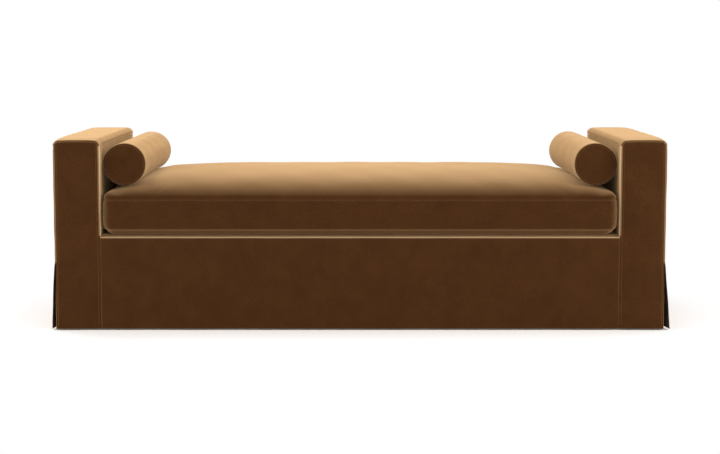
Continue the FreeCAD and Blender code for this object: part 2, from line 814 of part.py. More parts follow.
SEAT_X = f"({ARM_IN} - Sizes.seat_side_gap)"
SEAT_Y = f"({HALF_DEEP} - Sizes.seat_front_gap)"
SEAT_LOW = f"({DECK} + Sizes.seat_ease)"
BOTTOM_SEAM = f"({DECK} + Sizes.seat_bottom_seam)"
TOP_SEAM = f"({BOTTOM_SEAM} + Sizes.boxing_tall)"
BOLSTER_X = f"({ARM_IN} - Sizes.bolster_side_gap - Sizes.bolster_radius)"
BOLSTER_Z = f"({TOP_SEAM} + Sizes.crown_tall + Sizes.bolster_radius - Sizes.bolster_settle)"
SEAT_ZIP_HALF = f"({SEAT_X} - Sizes.seat_zip_inset)"
BOLSTER_ZIP_HALF = "(Sizes.bolster_long / 2 - Sizes.bolster_zip_inset)"


def crown_height(x, y):
    """Height above the top seam of the free crown, full in the middle and nothing at the seams."""
    along = max(0.0, 1 - abs(x / number(SEAT_X)) ** CROWN_POWER_ALONG)
    across = max(0.0, 1 - abs(y / number(SEAT_Y)) ** CROWN_POWER_ACROSS)
    return number("Sizes.crown_tall") * math.sqrt(along * across)


def top_level(x, y):
    """Top of the cover: the free crown, or the hollow that a bolster presses into it if lower."""
    seam = number(TOP_SEAM)
    level = seam + crown_height(x, y)
    radius = number("Sizes.bolster_radius")
    offset = abs(x) - number(BOLSTER_X)
    if abs(offset) < radius:
        under = number(BOLSTER_Z) - math.sqrt(radius ** 2 - offset ** 2)
        level = min(level, max(seam, under - number("Sizes.bolster_ease")))
    return level


def crown_places(half_x):
    """Places along the cushion where the crown is measured, closer together under a bolster."""
    reach = number(BOLSTER_X) - HOLLOW_REACH * number("Sizes.bolster_radius")
    places = [reach * step / CROWN_STEPS for step in range(CROWN_STEPS)]
    places += [reach + (half_x - reach) * step / HOLLOW_STEPS for step in range(HOLLOW_STEPS + 1)]
    return [-x for x in reversed(places[1:])] + places


def cushion_section(y, half_x, inset):
    """The closed outline of the cushion at depth y, set in by inset all round."""
    share = number(SEAT_X) / half_x
    depth = y * number(SEAT_Y) / (number(SEAT_Y) - inset)
    low_seam = number(BOTTOM_SEAM) + inset
    draw = number("Sizes.bottom_draw")
    flat_bottom = abs(depth) < number(SEAT_Y) - draw
    floor = number(SEAT_LOW) + inset if flat_bottom else low_seam
    corners = [
        FreeCAD.Vector(x, y, top_level(x * share, depth) - inset) for x in crown_places(half_x)
    ]
    corners += [
        FreeCAD.Vector(half_x, y, low_seam),
        FreeCAD.Vector(half_x - draw, y, floor),
        FreeCAD.Vector(draw - half_x, y, floor),
        FreeCAD.Vector(-half_x, y, low_seam),
    ]
    return Part.makePolygon(corners + corners[:1])


def crowned_block(inset):
    """The whole cushion form, set in by inset: cross sections joined from front to back."""
    half_x = number(SEAT_X) - inset
    half_y = number(SEAT_Y) - inset
    radius = number("Sizes.seat_corner_radius")
    stations = []
    for angle in CORNER_ANGLES:
        turn = math.radians(angle)
        back = half_y - radius * (1 - math.cos(turn))
        stations.append((back, half_x - radius * (1 - math.sin(turn))))
    stations += [(half_y * share, half_x) for share in DEPTH_SHARES]
    front = [(-y, wide) for y, wide in stations]
    wires = [
        cushion_section(y, wide, inset)
        for y, wide in front + [(0.0, half_x)] + stations[::-1]
    ]
    return Part.makeLoft(wires, True, True)


def formed(name, shape):
    piece = doc.addObject("Part::Feature", name)
    piece.Shape = shape
    return piece


def seat_cushion():
    cloth = number(CLOTH)
    outer = crowned_block(0)
    inner = crowned_block(cloth)
    shell = formed("seat_cover_shell", outer.cut(inner))
    zip_room = slab(
        "seat_zip_room",
        about("0", f"({SEAT_ZIP_HALF} + Sizes.zip_clear)"),
        (f"{SEAT_Y} - 2 * {CLOTH}", f"{SEAT_Y} + {CLOTH}"),
        about(SEAT_ZIP_Z, "(Sizes.zip_wide / 2 + Sizes.zip_clear)"),
    )
    cover = doc.addObject("Part::Cut", "seat_cover_cut")
    cover.Base = shell
    cover.Tool = zip_room
    node(cover, "seat_cushion_cover")
    core = slab(
        "seat_core_box",
        (f"Sizes.core_inset - {SEAT_X}", f"{SEAT_X} - Sizes.core_inset"),
        (f"Sizes.core_inset - {SEAT_Y}", f"{SEAT_Y} - Sizes.core_inset"),
        (f"{SEAT_LOW} + {CLOTH} + Sizes.core_inset / 2", CORE_TOP),
    )
    node(core, "seat_foam_core")
    wrap = doc.addObject("Part::Cut", "seat_wrap_cut")
    wrap.Base = formed("seat_wrap_block", inner)
    wrap.Tool = core
    node(wrap, "seat_fibre_wrap")


def seat_zip():
    face = f"({SEAT_Y} - Sizes.zip_clear)"
    chain = slab(
        "seat_zip_box",
        about("0", SEAT_ZIP_HALF),
        (f"{face} - Sizes.zip_thick", face),
        about(SEAT_ZIP_Z, "Sizes.zip_wide / 2"),
    )
    node(chain, "seat_zip")
    start = f"(Sizes.slider_long - {SEAT_ZIP_HALF})"
    low = f"({SEAT_Y} + Sizes.slider_lift)"
    body = prism(
        "seat_zip_slider_body", "XZ_Plane", (low, f"{low} + Sizes.slider_thick"),
        [slider_outline(start, SEAT_ZIP_Z)],
    )
    node(body, "seat_zip_slider")


def slider_outline(start, height):
    """A six-sided zip slider, pointed towards the end it closes, starting at start."""
    half_long = "Sizes.slider_long / 2"
    half_wide = "Sizes.slider_wide / 2"
    nose = f"({start} + {half_long})"
    shoulder = f"({start} + {half_long} - Sizes.slider_nose)"
    tail = f"({start} - {half_long})"
    return [
        (tail, f"{height} - {half_wide}"),
        (shoulder, f"{height} - {half_wide}"),
        (nose, f"{height} - {half_wide} / 2"),
        (nose, f"{height} + {half_wide} / 2"),
        (shoulder, f"{height} + {half_wide}"),
        (tail, f"{height} + {half_wide}"),
    ]


SEAT_ZIP_Z = f"({BOTTOM_SEAM} + Sizes.boxing_tall / 2)"
CORE_TOP = f"({SEAT_LOW} + {CLOTH} + Sizes.core_inset / 2 + Sizes.core_tall)"

seat_cushion()
seat_zip()


# Bolsters: a velvet tube with two sewn-in end panels, a round insert and a zip on the arm's side

def bolster(side):
    sign = SIDES[side]
    middle = (signed(sign, BOLSTER_X), BOLSTER_Z)
    radius = "Sizes.bolster_radius"
    tip = "(Sizes.bolster_long / 2)"
    shoulder = f"({tip} - {CLOTH})"
    filled = f"({radius} - {CLOTH} - Sizes.fill_ease)"

    tube = doc.addObject("PartDesign::Body", f"bolster_{side}_tube")
    rings = [(*middle, radius), (*middle, f"{radius} - {CLOTH}")]
    pad(tube, f"bolster_{side}_tube_pad", "XZ_Plane", (minus(shoulder), shoulder), circles=rings)
    along = about("0", f"({BOLSTER_ZIP_HALF} + Sizes.zip_clear)")
    height = about(BOLSTER_Z, "(Sizes.zip_wide / 2 + Sizes.zip_clear)")
    outer = f"({BOLSTER_X} + {radius})"
    reach = span(sign, f"({outer} - 2 * {CLOTH})", f"({outer} + {CLOTH})")
    pocket(tube, f"bolster_{side}_zip_room", "YZ_Plane", reach, [rectangle(along, height)])
    node(tube, f"bolster_{side}_cover")

    ends = doc.addObject("PartDesign::Body", f"bolster_{side}_end_panels")
    for end, way in ENDS.items():
        name = f"bolster_{side}_{end}_panel"
        pad(ends, name, "XZ_Plane", span(way, shoulder, tip), circles=[(*middle, radius)])
    node(ends, f"bolster_{side}_ends")

    inside = (f"Sizes.fill_ease - {shoulder}", f"{shoulder} - Sizes.fill_ease")
    insert = prism(f"bolster_{side}_insert_body", "XZ_Plane", inside, circles=[(*middle, filled)])
    node(insert, f"bolster_{side}_insert")

    chain = slab(
        f"bolster_{side}_zip_box",
        span(sign, f"({outer} - Sizes.zip_clear - Sizes.zip_thick)", f"({outer} - Sizes.zip_clear)"),
        about("0", BOLSTER_ZIP_HALF),
        about(BOLSTER_Z, "Sizes.zip_wide / 2"),
    )
    node(chain, f"bolster_{side}_zip")

    start = f"(Sizes.slider_long - {BOLSTER_ZIP_HALF})"
    lift = span(sign, f"({outer} + Sizes.slider_lift)", f"({outer} + Sizes.slider_lift + Sizes.slider_thick)")
    slider = prism(
        f"bolster_{side}_zip_slider_body", "YZ_Plane", lift, [slider_outline(start, BOLSTER_Z)]
    )
    node(slider, f"bolster_{side}_zip_slider")


for side in SIDES:
    bolster(side)


# Checks, then one file for each sub-part

doc.recompute()
for thing in doc.Objects:
    if "Invalid" in thing.State or "Error" in thing.State:
        raise RuntimeError(f"{thing.Name} did not build: {thing.State}")
for thing in NODES:
    if thing.Shape.isNull() or not thing.Shape.isValid():
        raise RuntimeError(f"{thing.Label} has no valid shape")

os.makedirs("parts", exist_ok=True)
for thing in NODES:
    thing.Shape.exportStep(os.path.join("parts", f"{thing.Label}.step"))
print(len(NODES), "sub-parts written")
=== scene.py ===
import json
import math

import bmesh
import bpy
import numpy as np
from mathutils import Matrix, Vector
from mathutils.bvhtree import BVHTree
from mathutils.kdtree import KDTree

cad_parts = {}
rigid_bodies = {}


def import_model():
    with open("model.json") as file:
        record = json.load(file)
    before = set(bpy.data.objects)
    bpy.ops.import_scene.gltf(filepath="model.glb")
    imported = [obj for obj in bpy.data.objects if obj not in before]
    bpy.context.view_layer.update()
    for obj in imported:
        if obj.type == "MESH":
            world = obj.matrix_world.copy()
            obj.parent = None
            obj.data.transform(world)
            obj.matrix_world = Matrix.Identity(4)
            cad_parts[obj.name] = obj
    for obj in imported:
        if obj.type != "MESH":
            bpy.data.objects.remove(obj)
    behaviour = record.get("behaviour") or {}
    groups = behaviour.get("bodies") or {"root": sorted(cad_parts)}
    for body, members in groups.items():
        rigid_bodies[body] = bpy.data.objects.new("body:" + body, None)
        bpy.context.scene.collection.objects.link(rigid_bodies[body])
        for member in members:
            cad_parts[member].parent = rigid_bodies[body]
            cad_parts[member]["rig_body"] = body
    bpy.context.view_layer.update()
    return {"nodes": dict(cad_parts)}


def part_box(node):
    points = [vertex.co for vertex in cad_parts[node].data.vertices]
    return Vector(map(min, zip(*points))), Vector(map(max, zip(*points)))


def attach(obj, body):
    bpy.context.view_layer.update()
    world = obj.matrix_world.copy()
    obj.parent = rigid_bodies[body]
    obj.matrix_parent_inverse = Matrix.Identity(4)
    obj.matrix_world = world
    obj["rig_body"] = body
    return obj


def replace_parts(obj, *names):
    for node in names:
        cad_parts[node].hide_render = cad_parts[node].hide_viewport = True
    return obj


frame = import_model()


# Hardwood frame
# Rails, stretchers, posts, ribs and corner blocks of kiln-dried beech, sawn and planed, glued and
# screwed. Straight brown flecked grain with a dull planed face; its edges are eased by hand.

def colour(code):
    """A screen colour, #rrggbb, as the linear red, green, blue and alpha that the shaders take."""
    parts = [int(code[place:place + 2], 16) / 255 for place in (1, 3, 5)]
    return [p / 12.92 if p <= 0.04045 else ((p + 0.055) / 1.055) ** 2.4 for p in parts] + [1.0]


def add_node(material, kind, inputs=None, **settings):
    """Adds one node to a material, with its settings, and its inputs as values or other sockets."""
    made = material.node_tree.nodes.new(kind)
    for name, value in settings.items():
        setattr(made, name, value)
    for name, value in (inputs or {}).items():
        if isinstance(value, bpy.types.NodeSocket):
            material.node_tree.links.new(value, made.inputs[name])
        else:
            made.inputs[name].default_value = value
    return made


def start_material(name, **sockets):
    """A new material, its shader with sockets given by name, _ for a space, and its object coordinates."""
    material = bpy.data.materials.new(name)
    material.use_nodes = True
    shader = material.node_tree.nodes["Principled BSDF"]
    for socket, value in sockets.items():
        shader.inputs[socket.replace("_", " ")].default_value = value
    return material, shader, add_node(material, "ShaderNodeTexCoord").outputs["Object"]


def join(material, output, shader, socket):
    material.node_tree.links.new(output, shader.inputs[socket])


def colour_and_bump(material, shader, level, low, high, height, strength, distance):
    """Colours a material from low to high by the pattern level, and raises it by the pattern height."""
    tone = add_node(
        material, "ShaderNodeMix", {0: level, 6: colour(low), 7: colour(high)}, data_type="RGBA",
    )
    join(material, tone.outputs[2], shader, "Base Color")
    bump = add_node(
        material, "ShaderNodeBump", {"Height": height, "Strength": strength, "Distance": distance},
    )
    join(material, bump.outputs["Normal"], shader, "Normal")
    return material


def timber(name, along, pale, dark, grain_wide, roughness):
    """Sawn wood whose grain runs along the axis 0, 1 or 2, with grain lines grain_wide metres apart."""
    material, shader, place = start_material(name, Roughness=roughness, IOR=1.5)
    stretch = [1 / grain_wide] * 3
    stretch[along] = 0.04 / grain_wide
    fibres = add_node(material, "ShaderNodeMapping", {"Vector": place, "Scale": stretch})
    lines = add_node(
        material, "ShaderNodeTexNoise",
        {
            "Vector": fibres.outputs["Vector"], "Scale": 1.0, "Detail": 5.0, "Roughness": 0.62,
            "Distortion": 0.4,
        },
    )
    broad = add_node(
        material, "ShaderNodeTexNoise",
        {"Vector": fibres.outputs["Vector"], "Scale": 0.12, "Detail": 2.0},
    )
    both = add_node(
        material, "ShaderNodeMath", {0: lines.outputs["Fac"], 1: broad.outputs["Fac"]}, operation="ADD",
    )
    ramp = add_node(
        material, "ShaderNodeMapRange", {"Value": both.outputs[0], "From Min": 0.75, "From Max": 1.25},
    )
    return colour_and_bump(
        material, shader, ramp.outputs[0], pale, dark, lines.outputs["Fac"], 0.35, 0.0006,
    )


def dress(node, material, ease=0.0):
    """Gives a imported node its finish, and eases its sharp edges with a small bevel."""
    piece = frame["nodes"][node]
    for place in piece.material_slots:
        place.material = material
    if ease:
        bevel = piece.modifiers.new("eased_edges", "BEVEL")
        bevel.width = ease
        bevel.segments = 2
        bevel.limit_method = "ANGLE"
        bevel.angle_limit = math.radians(35)
    return piece


BEECH = {"pale": "#d3ab79", "dark": "#a9794a", "grain_wide": 0.004, "roughness": 0.62}
beech_across = timber("beech_grain_across", 0, **BEECH)
beech_deep = timber("beech_grain_front_to_back", 1, **BEECH)
beech_up = timber("beech_grain_upright", 2, **BEECH)
PLANED_EDGE = 0.0015
for node in ("front_rail", "back_rail"):
    dress(node, beech_across, PLANED_EDGE)
for node in ("side_rail_left", "side_rail_right", "deck_end_rails", "cross_stretchers"):
    dress(node, beech_deep, PLANED_EDGE)
for node in ("arm_posts", "arm_ribs", "corner_blocks"):
    dress(node, beech_up, PLANED_EDGE)


# Arm boards and panels
# Birch plywood, cut square and stapled to the posts: pale, with a fine even figure.

BIRCH = {"pale": "#e0c394", "dark": "#c79e68", "grain_wide": 0.007, "roughness": 0.55}
birch_deep = timber("birch_plywood_front_to_back", 1, **BIRCH)
birch_up = timber("birch_plywood_upright", 2, **BIRCH)
for side in ("left", "right"):
    for node in (f"arm_inner_panel_{side}", f"arm_outer_panel_{side}", f"arm_top_board_{side}"):
        dress(node, birch_deep, 0.0008)
    for node in (f"arm_front_board_{side}", f"arm_back_board_{side}"):
        dress(node, birch_up, 0.0008)


# Legs and glides
# Six square tapered beech legs, stained dark and lacquered, each with a moulded nylon glide
# nailed to its foot. The lacquer gives the dark wood a low shine; the nylon is smooth and dull.

legs_stain = timber("stained_beech", 2, "#4a2d1c", "#26150c", 0.003, 0.38)
dress("legs", legs_stain, 0.002)

nylon, nylon_shader, nylon_place = start_material("moulded_nylon", Roughness=0.45, IOR=1.53)
NYLON_GRAIN = 0.0008      # size of the mould's fine grain
nylon_noise = add_node(nylon, "ShaderNodeTexNoise", {"Vector": nylon_place, "Scale": 1 / NYLON_GRAIN})
nylon_grain = nylon_noise.outputs["Fac"]
colour_and_bump(nylon, nylon_shader, nylon_grain, "#2b2622", "#1b1815", nylon_grain, 0.2, 0.0002)
dress("leg_glides", nylon, 0.001)


# Screws and hanger bolts
# Zinc-plated steel, driven from outside the posts and up into the legs. Grey with a faint bloom.

def plated_steel(name, pale, dark, bloom, roughness):
    """Plated steel with a bloom of spots, bloom metres wide."""
    material, shader, place = start_material(name, Metallic=1.0, Roughness=roughness)
    spots = add_node(material, "ShaderNodeTexNoise", {"Vector": place, "Scale": 1 / bloom, "Detail": 3.0})
    return colour_and_bump(
        material, shader, spots.outputs["Fac"], pale, dark, spots.outputs["Fac"], 0.15, 0.0002,
    )


zinc = plated_steel("zinc_plated_steel", "#c9ccd0", "#9a9da1", 0.003, 0.36)
dress("frame_screws", zinc)
dress("leg_bolts", zinc)


# Webbing
# Elastic webbing, 60 mm wide, woven of black polyester over rubber, stretched across the frame
# and stapled: the cross straps under and over the long ones. Ribbed across, with a dull face.

def woven(name, pale, dark, thread, roughness, strength):
    """Plain weave cloth with threads as far apart as thread, in metres, both ways."""
    material, shader, place = start_material(name, Roughness=roughness, IOR=1.45)
    bands = []
    for direction in ("X", "Y", "Z"):
        wave = add_node(
            material, "ShaderNodeTexWave",
            {"Vector": place, "Scale": 0.05 / thread * 2, "Distortion": 0.6, "Detail": 1.0},
            wave_type="BANDS", bands_direction=direction,
        )
        bands.append(wave.outputs["Fac"])
    first = add_node(material, "ShaderNodeMath", {0: bands[0], 1: bands[1]}, operation="ADD")
    weave = add_node(material, "ShaderNodeMath", {0: first.outputs[0], 1: bands[2]}, operation="ADD")
    patch = add_node(material, "ShaderNodeTexNoise", {"Vector": place, "Scale": 60.0, "Detail": 4.0})
    level = add_node(
        material, "ShaderNodeMath", {0: weave.outputs[0], 1: patch.outputs["Fac"]}, operation="MULTIPLY",
    )
    return colour_and_bump(
        material, shader, level.outputs[0], dark, pale, weave.outputs[0], strength, thread / 4,
    )


webbing_cloth = woven("elastic_webbing", "#3b3a3a", "#161515", 0.003, 0.8, 0.5)
cross_low, cross_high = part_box("cross_webbing")
long_low, long_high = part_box("long_webbing")
CROSS_STRAPS = 12
LONG_STRAPS = 3
for node, straps, run in (
    ("cross_webbing", CROSS_STRAPS, cross_high.y - cross_low.y),
    ("long_webbing", LONG_STRAPS, long_high.x - long_low.x),
):
    straps_piece = dress(node, webbing_cloth)


# Padding
# Polyether foam sheets cut from block and glued over the arms, rails and webbing, on a sheet of
# needled felt. Foam is cream and open-celled with sawn edges; felt is grey with mixed fibres.

def soft_block(name, pale, dark, cell, roughness, strength):
    """Open-celled or fibrous padding with cells cell metres wide."""
    material, shader, place = start_material(name, Roughness=roughness, IOR=1.4)
    cells = add_node(material, "ShaderNodeTexVoronoi", {"Vector": place, "Scale": 1 / cell})
    clouds = add_node(material, "ShaderNodeTexNoise", {"Vector": place, "Scale": 14.0, "Detail": 6.0})
    level = add_node(
        material, "ShaderNodeMath",
        {0: cells.outputs["Distance"], 1: clouds.outputs["Fac"]}, operation="MULTIPLY",
    )
    return colour_and_bump(
        material, shader, level.outputs[0], pale, dark, cells.outputs["Distance"], strength, cell / 2,
    )


def link(name, mesh, *materials):
    """A new object with that mesh and those materials, in the scene."""
    piece = bpy.data.objects.new(name, mesh)
    for material in materials:
        mesh.materials.append(material)
    bpy.context.scene.collection.objects.link(piece)
    return piece


def stand_for(piece, body, slot, *nodes):
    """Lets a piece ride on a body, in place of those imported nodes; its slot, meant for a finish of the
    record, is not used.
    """
    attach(piece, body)
    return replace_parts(piece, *nodes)


def cut_padding(name, node, material, slot, edge):
    """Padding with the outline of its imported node: whole faces, soft edges and a slightly uneven skin."""
    work = bmesh.new()
    work.from_mesh(frame["nodes"][node].data)
    bmesh.ops.remove_doubles(work, verts=work.verts, dist=1e-5)
    bmesh.ops.dissolve_limit(work, angle_limit=math.radians(1), verts=work.verts, edges=work.edges)
    folds = [line for line in work.edges if len(line.link_faces) == 2]
    sharp = [line for line in folds if line.calc_face_angle() > math.radians(25)]
    bmesh.ops.bevel(
        work, geom=sharp, offset=edge, segments=3, affect="EDGES", profile=0.5, clamp_overlap=True,
    )
    mesh = bpy.data.meshes.new(name)
    work.to_mesh(mesh)
    work.free()
    mesh.materials.clear()
    mesh.shade_smooth()
    piece = link(name, mesh, material)
    flat = piece.modifiers.new("even_faces", "WEIGHTED_NORMAL")
    flat.keep_sharp = True
    return stand_for(piece, frame["nodes"][node]["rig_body"], slot, node)


foam = soft_block("cut_foam", "#efe4c4", "#cdb98a", 0.0016, 0.95, 0.6)
felt = soft_block("needled_felt", "#8d867c", "#5d574f", 0.0022, 1.0, 0.5)
FOAM_EDGE = 0.006
FELT_EDGE = 0.0008
rail_pads = cut_padding("rail_padding", "rail_foam", foam, "foam", FOAM_EDGE)

felt_sheet = cut_padding("deck_felt_sheet", "deck_felt", felt, "felt", FELT_EDGE)


# Dust cover
# Black spun-bonded cambric stapled under the rails and cut round the six legs. Thin and dull,
# with a fine pattern of bonded dots.

cambric = soft_block("spun_cambric", "#1c1b1b", "#0b0b0b", 0.0014, 0.9, 0.3)
dust_sheet = cut_padding("underside_cambric", "dust_cover", cambric, "cambric", 0.0003)


# Velvet
# Brown cotton velvet. The pile stands up, so a face seen square on looks into dark pile. The tan that a face
# seen along its surface takes on is a painted sheen, mixed into the colour by the angle of view. Hands leave
# soft patches.

PILE_CLUMP = 0.0030       # the pile itself is 0.2 mm across, too fine to show, so it is drawn in clumps
SLUB_LONG = 0.012         # faint short streaks, where thicker threads lie in the ground cloth
SLUB_WIDE = 0.0018
PATCH_WIDE = 0.07         # patches where the pile leans another way


def velvet(name, deep, warm, painted_sheen_colour, sharp):
    """Cotton velvet, deep in its pile, warm above, and with a painted sheen: its colour turns towards the
    given sheen colour as the view runs along its surface.
    """
    material, shader, place = start_material(
        name, Roughness=0.92, IOR=1.4, Specular_IOR_Level=0.0, Sheen_Weight=0.6, Sheen_Roughness=0.32,
        Sheen_Tint=colour("#f3cd9c"),
    )
    clumps = add_node(
        material, "ShaderNodeTexNoise",
        {"Vector": place, "Scale": 1 / PILE_CLUMP, "Detail": 3.0, "Roughness": 0.6},
    )
    stretched = add_node(
        material, "ShaderNodeMapping",
        {"Vector": place, "Scale": (1 / SLUB_LONG, 1 / SLUB_LONG, 1 / SLUB_WIDE)},
    )
    slubs = add_node(
        material, "ShaderNodeTexNoise", {"Vector": stretched.outputs["Vector"], "Scale": 1.0, "Detail": 2.0},
    )
    patches = add_node(
        material, "ShaderNodeTexNoise",
        {"Vector": place, "Scale": 1 / PATCH_WIDE, "Detail": 4.0, "Roughness": 0.6, "Distortion": 0.5},
    )
    fine = add_node(
        material, "ShaderNodeMath", {0: clumps.outputs["Fac"], 1: slubs.outputs["Fac"]}, operation="ADD",
    )
    patchy = add_node(
        material, "ShaderNodeMath", {0: patches.outputs["Fac"], 1: 0.9}, operation="MULTIPLY",
    )
    whole = add_node(
        material, "ShaderNodeMath", {0: fine.outputs[0], 1: patchy.outputs[0]}, operation="ADD",
    )
    level = add_node(
        material, "ShaderNodeMapRange", {"Value": whole.outputs[0], "From Min": 0.9, "From Max": 2.0},
    )
    pile = add_node(
        material, "ShaderNodeMix", {0: level.outputs[0], 6: colour(deep), 7: colour(warm)}, data_type="RGBA",
    )
    # Painted sheen: the colour is mixed towards the tan sheen colour by how far the view grazes the surface.
    edge = add_node(material, "ShaderNodeLayerWeight", {"Blend": 0.5})
    sheen = add_node(
        material, "ShaderNodeMath", {0: edge.outputs["Facing"], 1: sharp}, operation="POWER",
    )
    painted_sheen_mix = add_node(
        material, "ShaderNodeMix",
        {0: sheen.outputs[0], 6: pile.outputs[2], 7: colour(painted_sheen_colour)}, data_type="RGBA",
    )
    join(material, painted_sheen_mix.outputs[2], shader, "Base Color")
    broad = add_node(
        material, "ShaderNodeBump", {"Height": patches.outputs["Fac"], "Strength": 0.2, "Distance": 0.004},
    )
    bump = add_node(
        material, "ShaderNodeBump",
        {"Height": fine.outputs[0], "Strength": 0.25, "Distance": 0.0005, "Normal": broad.outputs["Normal"]},
    )
    join(material, bump.outputs["Normal"], shader, "Normal")
    return material


PAINTED_SHEEN_SHARP = 1.55         # how closely the painted tan sheen keeps to grazing views
BRIGHTER_SHEEN_SHARP = 0.7       # the same for a lighter copy, whose brighter painted sheen spreads further from grazing views
brown_velvet = velvet("brown_cotton_velvet", "#3c2311", "#53341c", "#c9a071", PAINTED_SHEEN_SHARP)
# A lighter copy of the velvet, whose brighter painted sheen lightens the deck's nosing and the arms' inside
# edges.
brighter_sheen_velvet = velvet("brown_cotton_velvet_brighter_painted_sheen", "#3c2311", "#53341c", "#f0cb9a", BRIGHTER_SHEEN_SHARP)
velvet_back = woven("velvet_ground_cloth", "#4a3320", "#2c1c10", 0.0012, 0.9, 0.4)


# Slipcover
# Loose velvet panels sewn together over the padded frame, down to a hem just off the floor. The
# panels meet at topstitched seams on rolled, padded edges; the arms' corners open in kick pleats.

SIDES = {"left": -1, "right": 1}
ENDS = {"front": -1, "back": 1}
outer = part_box("cover_arm_top_right")[1].x
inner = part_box("cover_arm_inside_right")[0].x
half_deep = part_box("cover_front")[0].y * -1
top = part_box("cover_arm_top_right")[1].z
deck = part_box("cover_deck")[1].z
HEM_DROP = 0.003          # the hem's folded edge and its pile hang this much lower than the cut panels
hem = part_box("cover_front")[0].z - HEM_DROP
pleat_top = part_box("kick_pleats")[1].z
hem_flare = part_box("cover_arm_outside_right")[1].x - outer
arm_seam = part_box("cover_arm_top_right")[0].z
ROLL = 0.0125             # radius of the arms' padded edges
DECK_ROLL = 0.0036        # radius of the deck's front and back edges
DECK_SINK = 0.0064        # how far those edges lie below the deck
DECK_SLOPE = 0.022        # the depth over which the deck slopes down to them
CORNER = 0.018            # radius of the arm's two top corners
SEAM_TURN = math.pi / 4   # how far round the roll the seam lies
SEAM_IN = ROLL * (1 - math.cos(SEAM_TURN))
CLOTH = 0.0016
TOP_FALL = 0.0035         # how far the arm's top falls towards its ends
TOP_FALL_RUN = 0.11
LESS_FLARE = {(-1, -1): 0.45}     # the left front flap hangs closer than the others
SEAM_DEEP = 0.0013        # how far a seam pulls the padding in
SEAM_WIDE = 0.0032
STITCH_IN = 0.008         # from a seam to its row of topstitching
HEM_TALL = 0.012
SLIT_TOP = 0.005          # how far the front flap's free edge stands in at the top of the pleat
SLIT_HEM = 0.002
FLARE_RUN = 0.160
FINE = (0, 0.0012, 0.0025, 0.004, 0.0055, 0.007, 0.008, 0.009, 0.011, 0.015, 0.022)
HEM_FINE = (0, 0.004, 0.008, 0.010, 0.012, 0.014, 0.018)
arm_middle = (inner + outer) / 2


def spaced(places, least):
    """The places that lie more than least beyond the one before."""
    return places[np.concatenate([[True], np.diff(places) > least])]


def stations(low, high, step, near_low=FINE, near_high=FINE):
    """Places from low to high about step apart, with closer ones near the ends, where the seams are."""
    plain = np.linspace(low, high, max(2, round((high - low) / step)) + 1)
    found = np.concatenate([plain, low + np.array(near_low), high - np.array(near_high)])
    found = np.unique(np.round(found[(found >= low) & (found <= high)], 6))
    found = spaced(found, 0.0007)
    found[-1] = high
    return found


def waver(a, b, seed, size):
    """A gentle unevenness from -1 to 1, in waves about size metres long."""
    total = 0
    for turn in range(4):
        way = seed * 1.7 + turn * 2.4
        wave = (a * math.cos(way) + b * math.sin(way)) / (size * (0.7 + 0.25 * turn))
        total = total + np.sin(2 * math.pi * wave + seed * 3.1 + turn * 1.9)
    return total / 4


def dip(distance, deep=SEAM_DEEP, wide=SEAM_WIDE):
    """The groove of a seam or a row of stitches at that distance."""
    return -deep * np.exp(-(distance / wide) ** 2)


def ease(value, low, high):
    """0 below low, 1 above high, and smooth between."""
    share = np.clip((value - low) / (high - low), 0, 1)
    return share * share * (3 - 2 * share)


def surface(base, relief, a, b):
    """Points and outward normals of a cloth surface: its base, moved along the normal by its relief."""
    nudge = 2e-5
    along = base(a + nudge, b) - base(a - nudge, b)
    across = base(a, b + nudge) - base(a, b - nudge)
    normal = np.cross(along, across)
    normal /= np.linalg.norm(normal, axis=-1, keepdims=True)
    return base(a, b) + normal * relief(a, b)[..., None], normal


def over_grid(base, relief, a, b):
    """The surface's points over every pair of the stations a and b."""
    return surface(base, relief, *np.meshgrid(a, b, indexing="ij"))[0]


def grid_faces(rows, columns):
    index = np.arange(rows * columns).reshape(rows, columns)
    return np.stack([index[:-1, :-1], index[1:, :-1], index[1:, 1:], index[:-1, 1:]], axis=-1).reshape(-1, 4)


def mesh_of(name, points, faces):
    mesh = bpy.data.meshes.new(name)
    mesh.from_pydata(points.reshape(-1, 3).tolist(), [], faces.tolist())
    mesh.validate()
    mesh.shade_smooth()
    return mesh


def mirrored(points, side, end=-1):
    """A right front shape, moved to the given side and end, with the arm's top sunk towards its corners."""
    sunk = points.copy()
    high = ease(points[..., 2], top - 0.07, top)
    near_end = np.clip(1 - (half_deep - np.abs(points[..., 1])) / TOP_FALL_RUN, 0, 1) ** 2
    inward = np.minimum(outer - points[..., 0], points[..., 0] - inner)
    near_side = np.clip(1 - inward / 0.06, 0, 1) ** 2
    sunk[..., 2] -= high * TOP_FALL * (near_end * (1 + 0.9 * near_side) + 0.3 * near_side)
    hung = np.clip((pleat_top - points[..., 2]) / (pleat_top - hem), 0, 1)
    sunk[..., 0] -= LESS_FLARE.get((side, end), 0) * hung * np.clip(points[..., 0] - outer, 0, 1)
    return sunk * np.array([side, -end, 1.0])


def thicken(piece, thickness):
    """Gives a sheet its thickness, on the inside."""
    thick = piece.modifiers.new("sheet_thickness", "SOLIDIFY")
    thick.thickness = thickness
    thick.offset = -1
    return thick


def cloth_panel(name, node, points, flip):
    """One cut panel of velvet over a grid of points, with the cloth's thickness inside it."""
    faces = grid_faces(*points.shape[:2])
    if flip:
        faces = faces[:, ::-1]
    piece = link(name, mesh_of(name, points, faces), brown_velvet, velvet_back)
    thick = thicken(piece, CLOTH)
    thick.material_offset = 1
    thick.material_offset_rim = 0
    return stand_for(piece, "slipcover", "slipcover_velvet", node)


def paint_brighter_sheen(piece, wide):
    """Gives the panel's front and back edges, that far in, the lighter velvet copy with the brighter painted
    sheen.
    """
    piece.data.materials.append(brighter_sheen_velvet)
    piece.data.materials.append(velvet_back)
    for face in piece.data.polygons:
        if abs(face.center.y) > half_deep - wide:
            face.material_index = 2


# Stitches
# Rows of waxed tan thread, a little over four stitches to the inch, sunk into the pile.

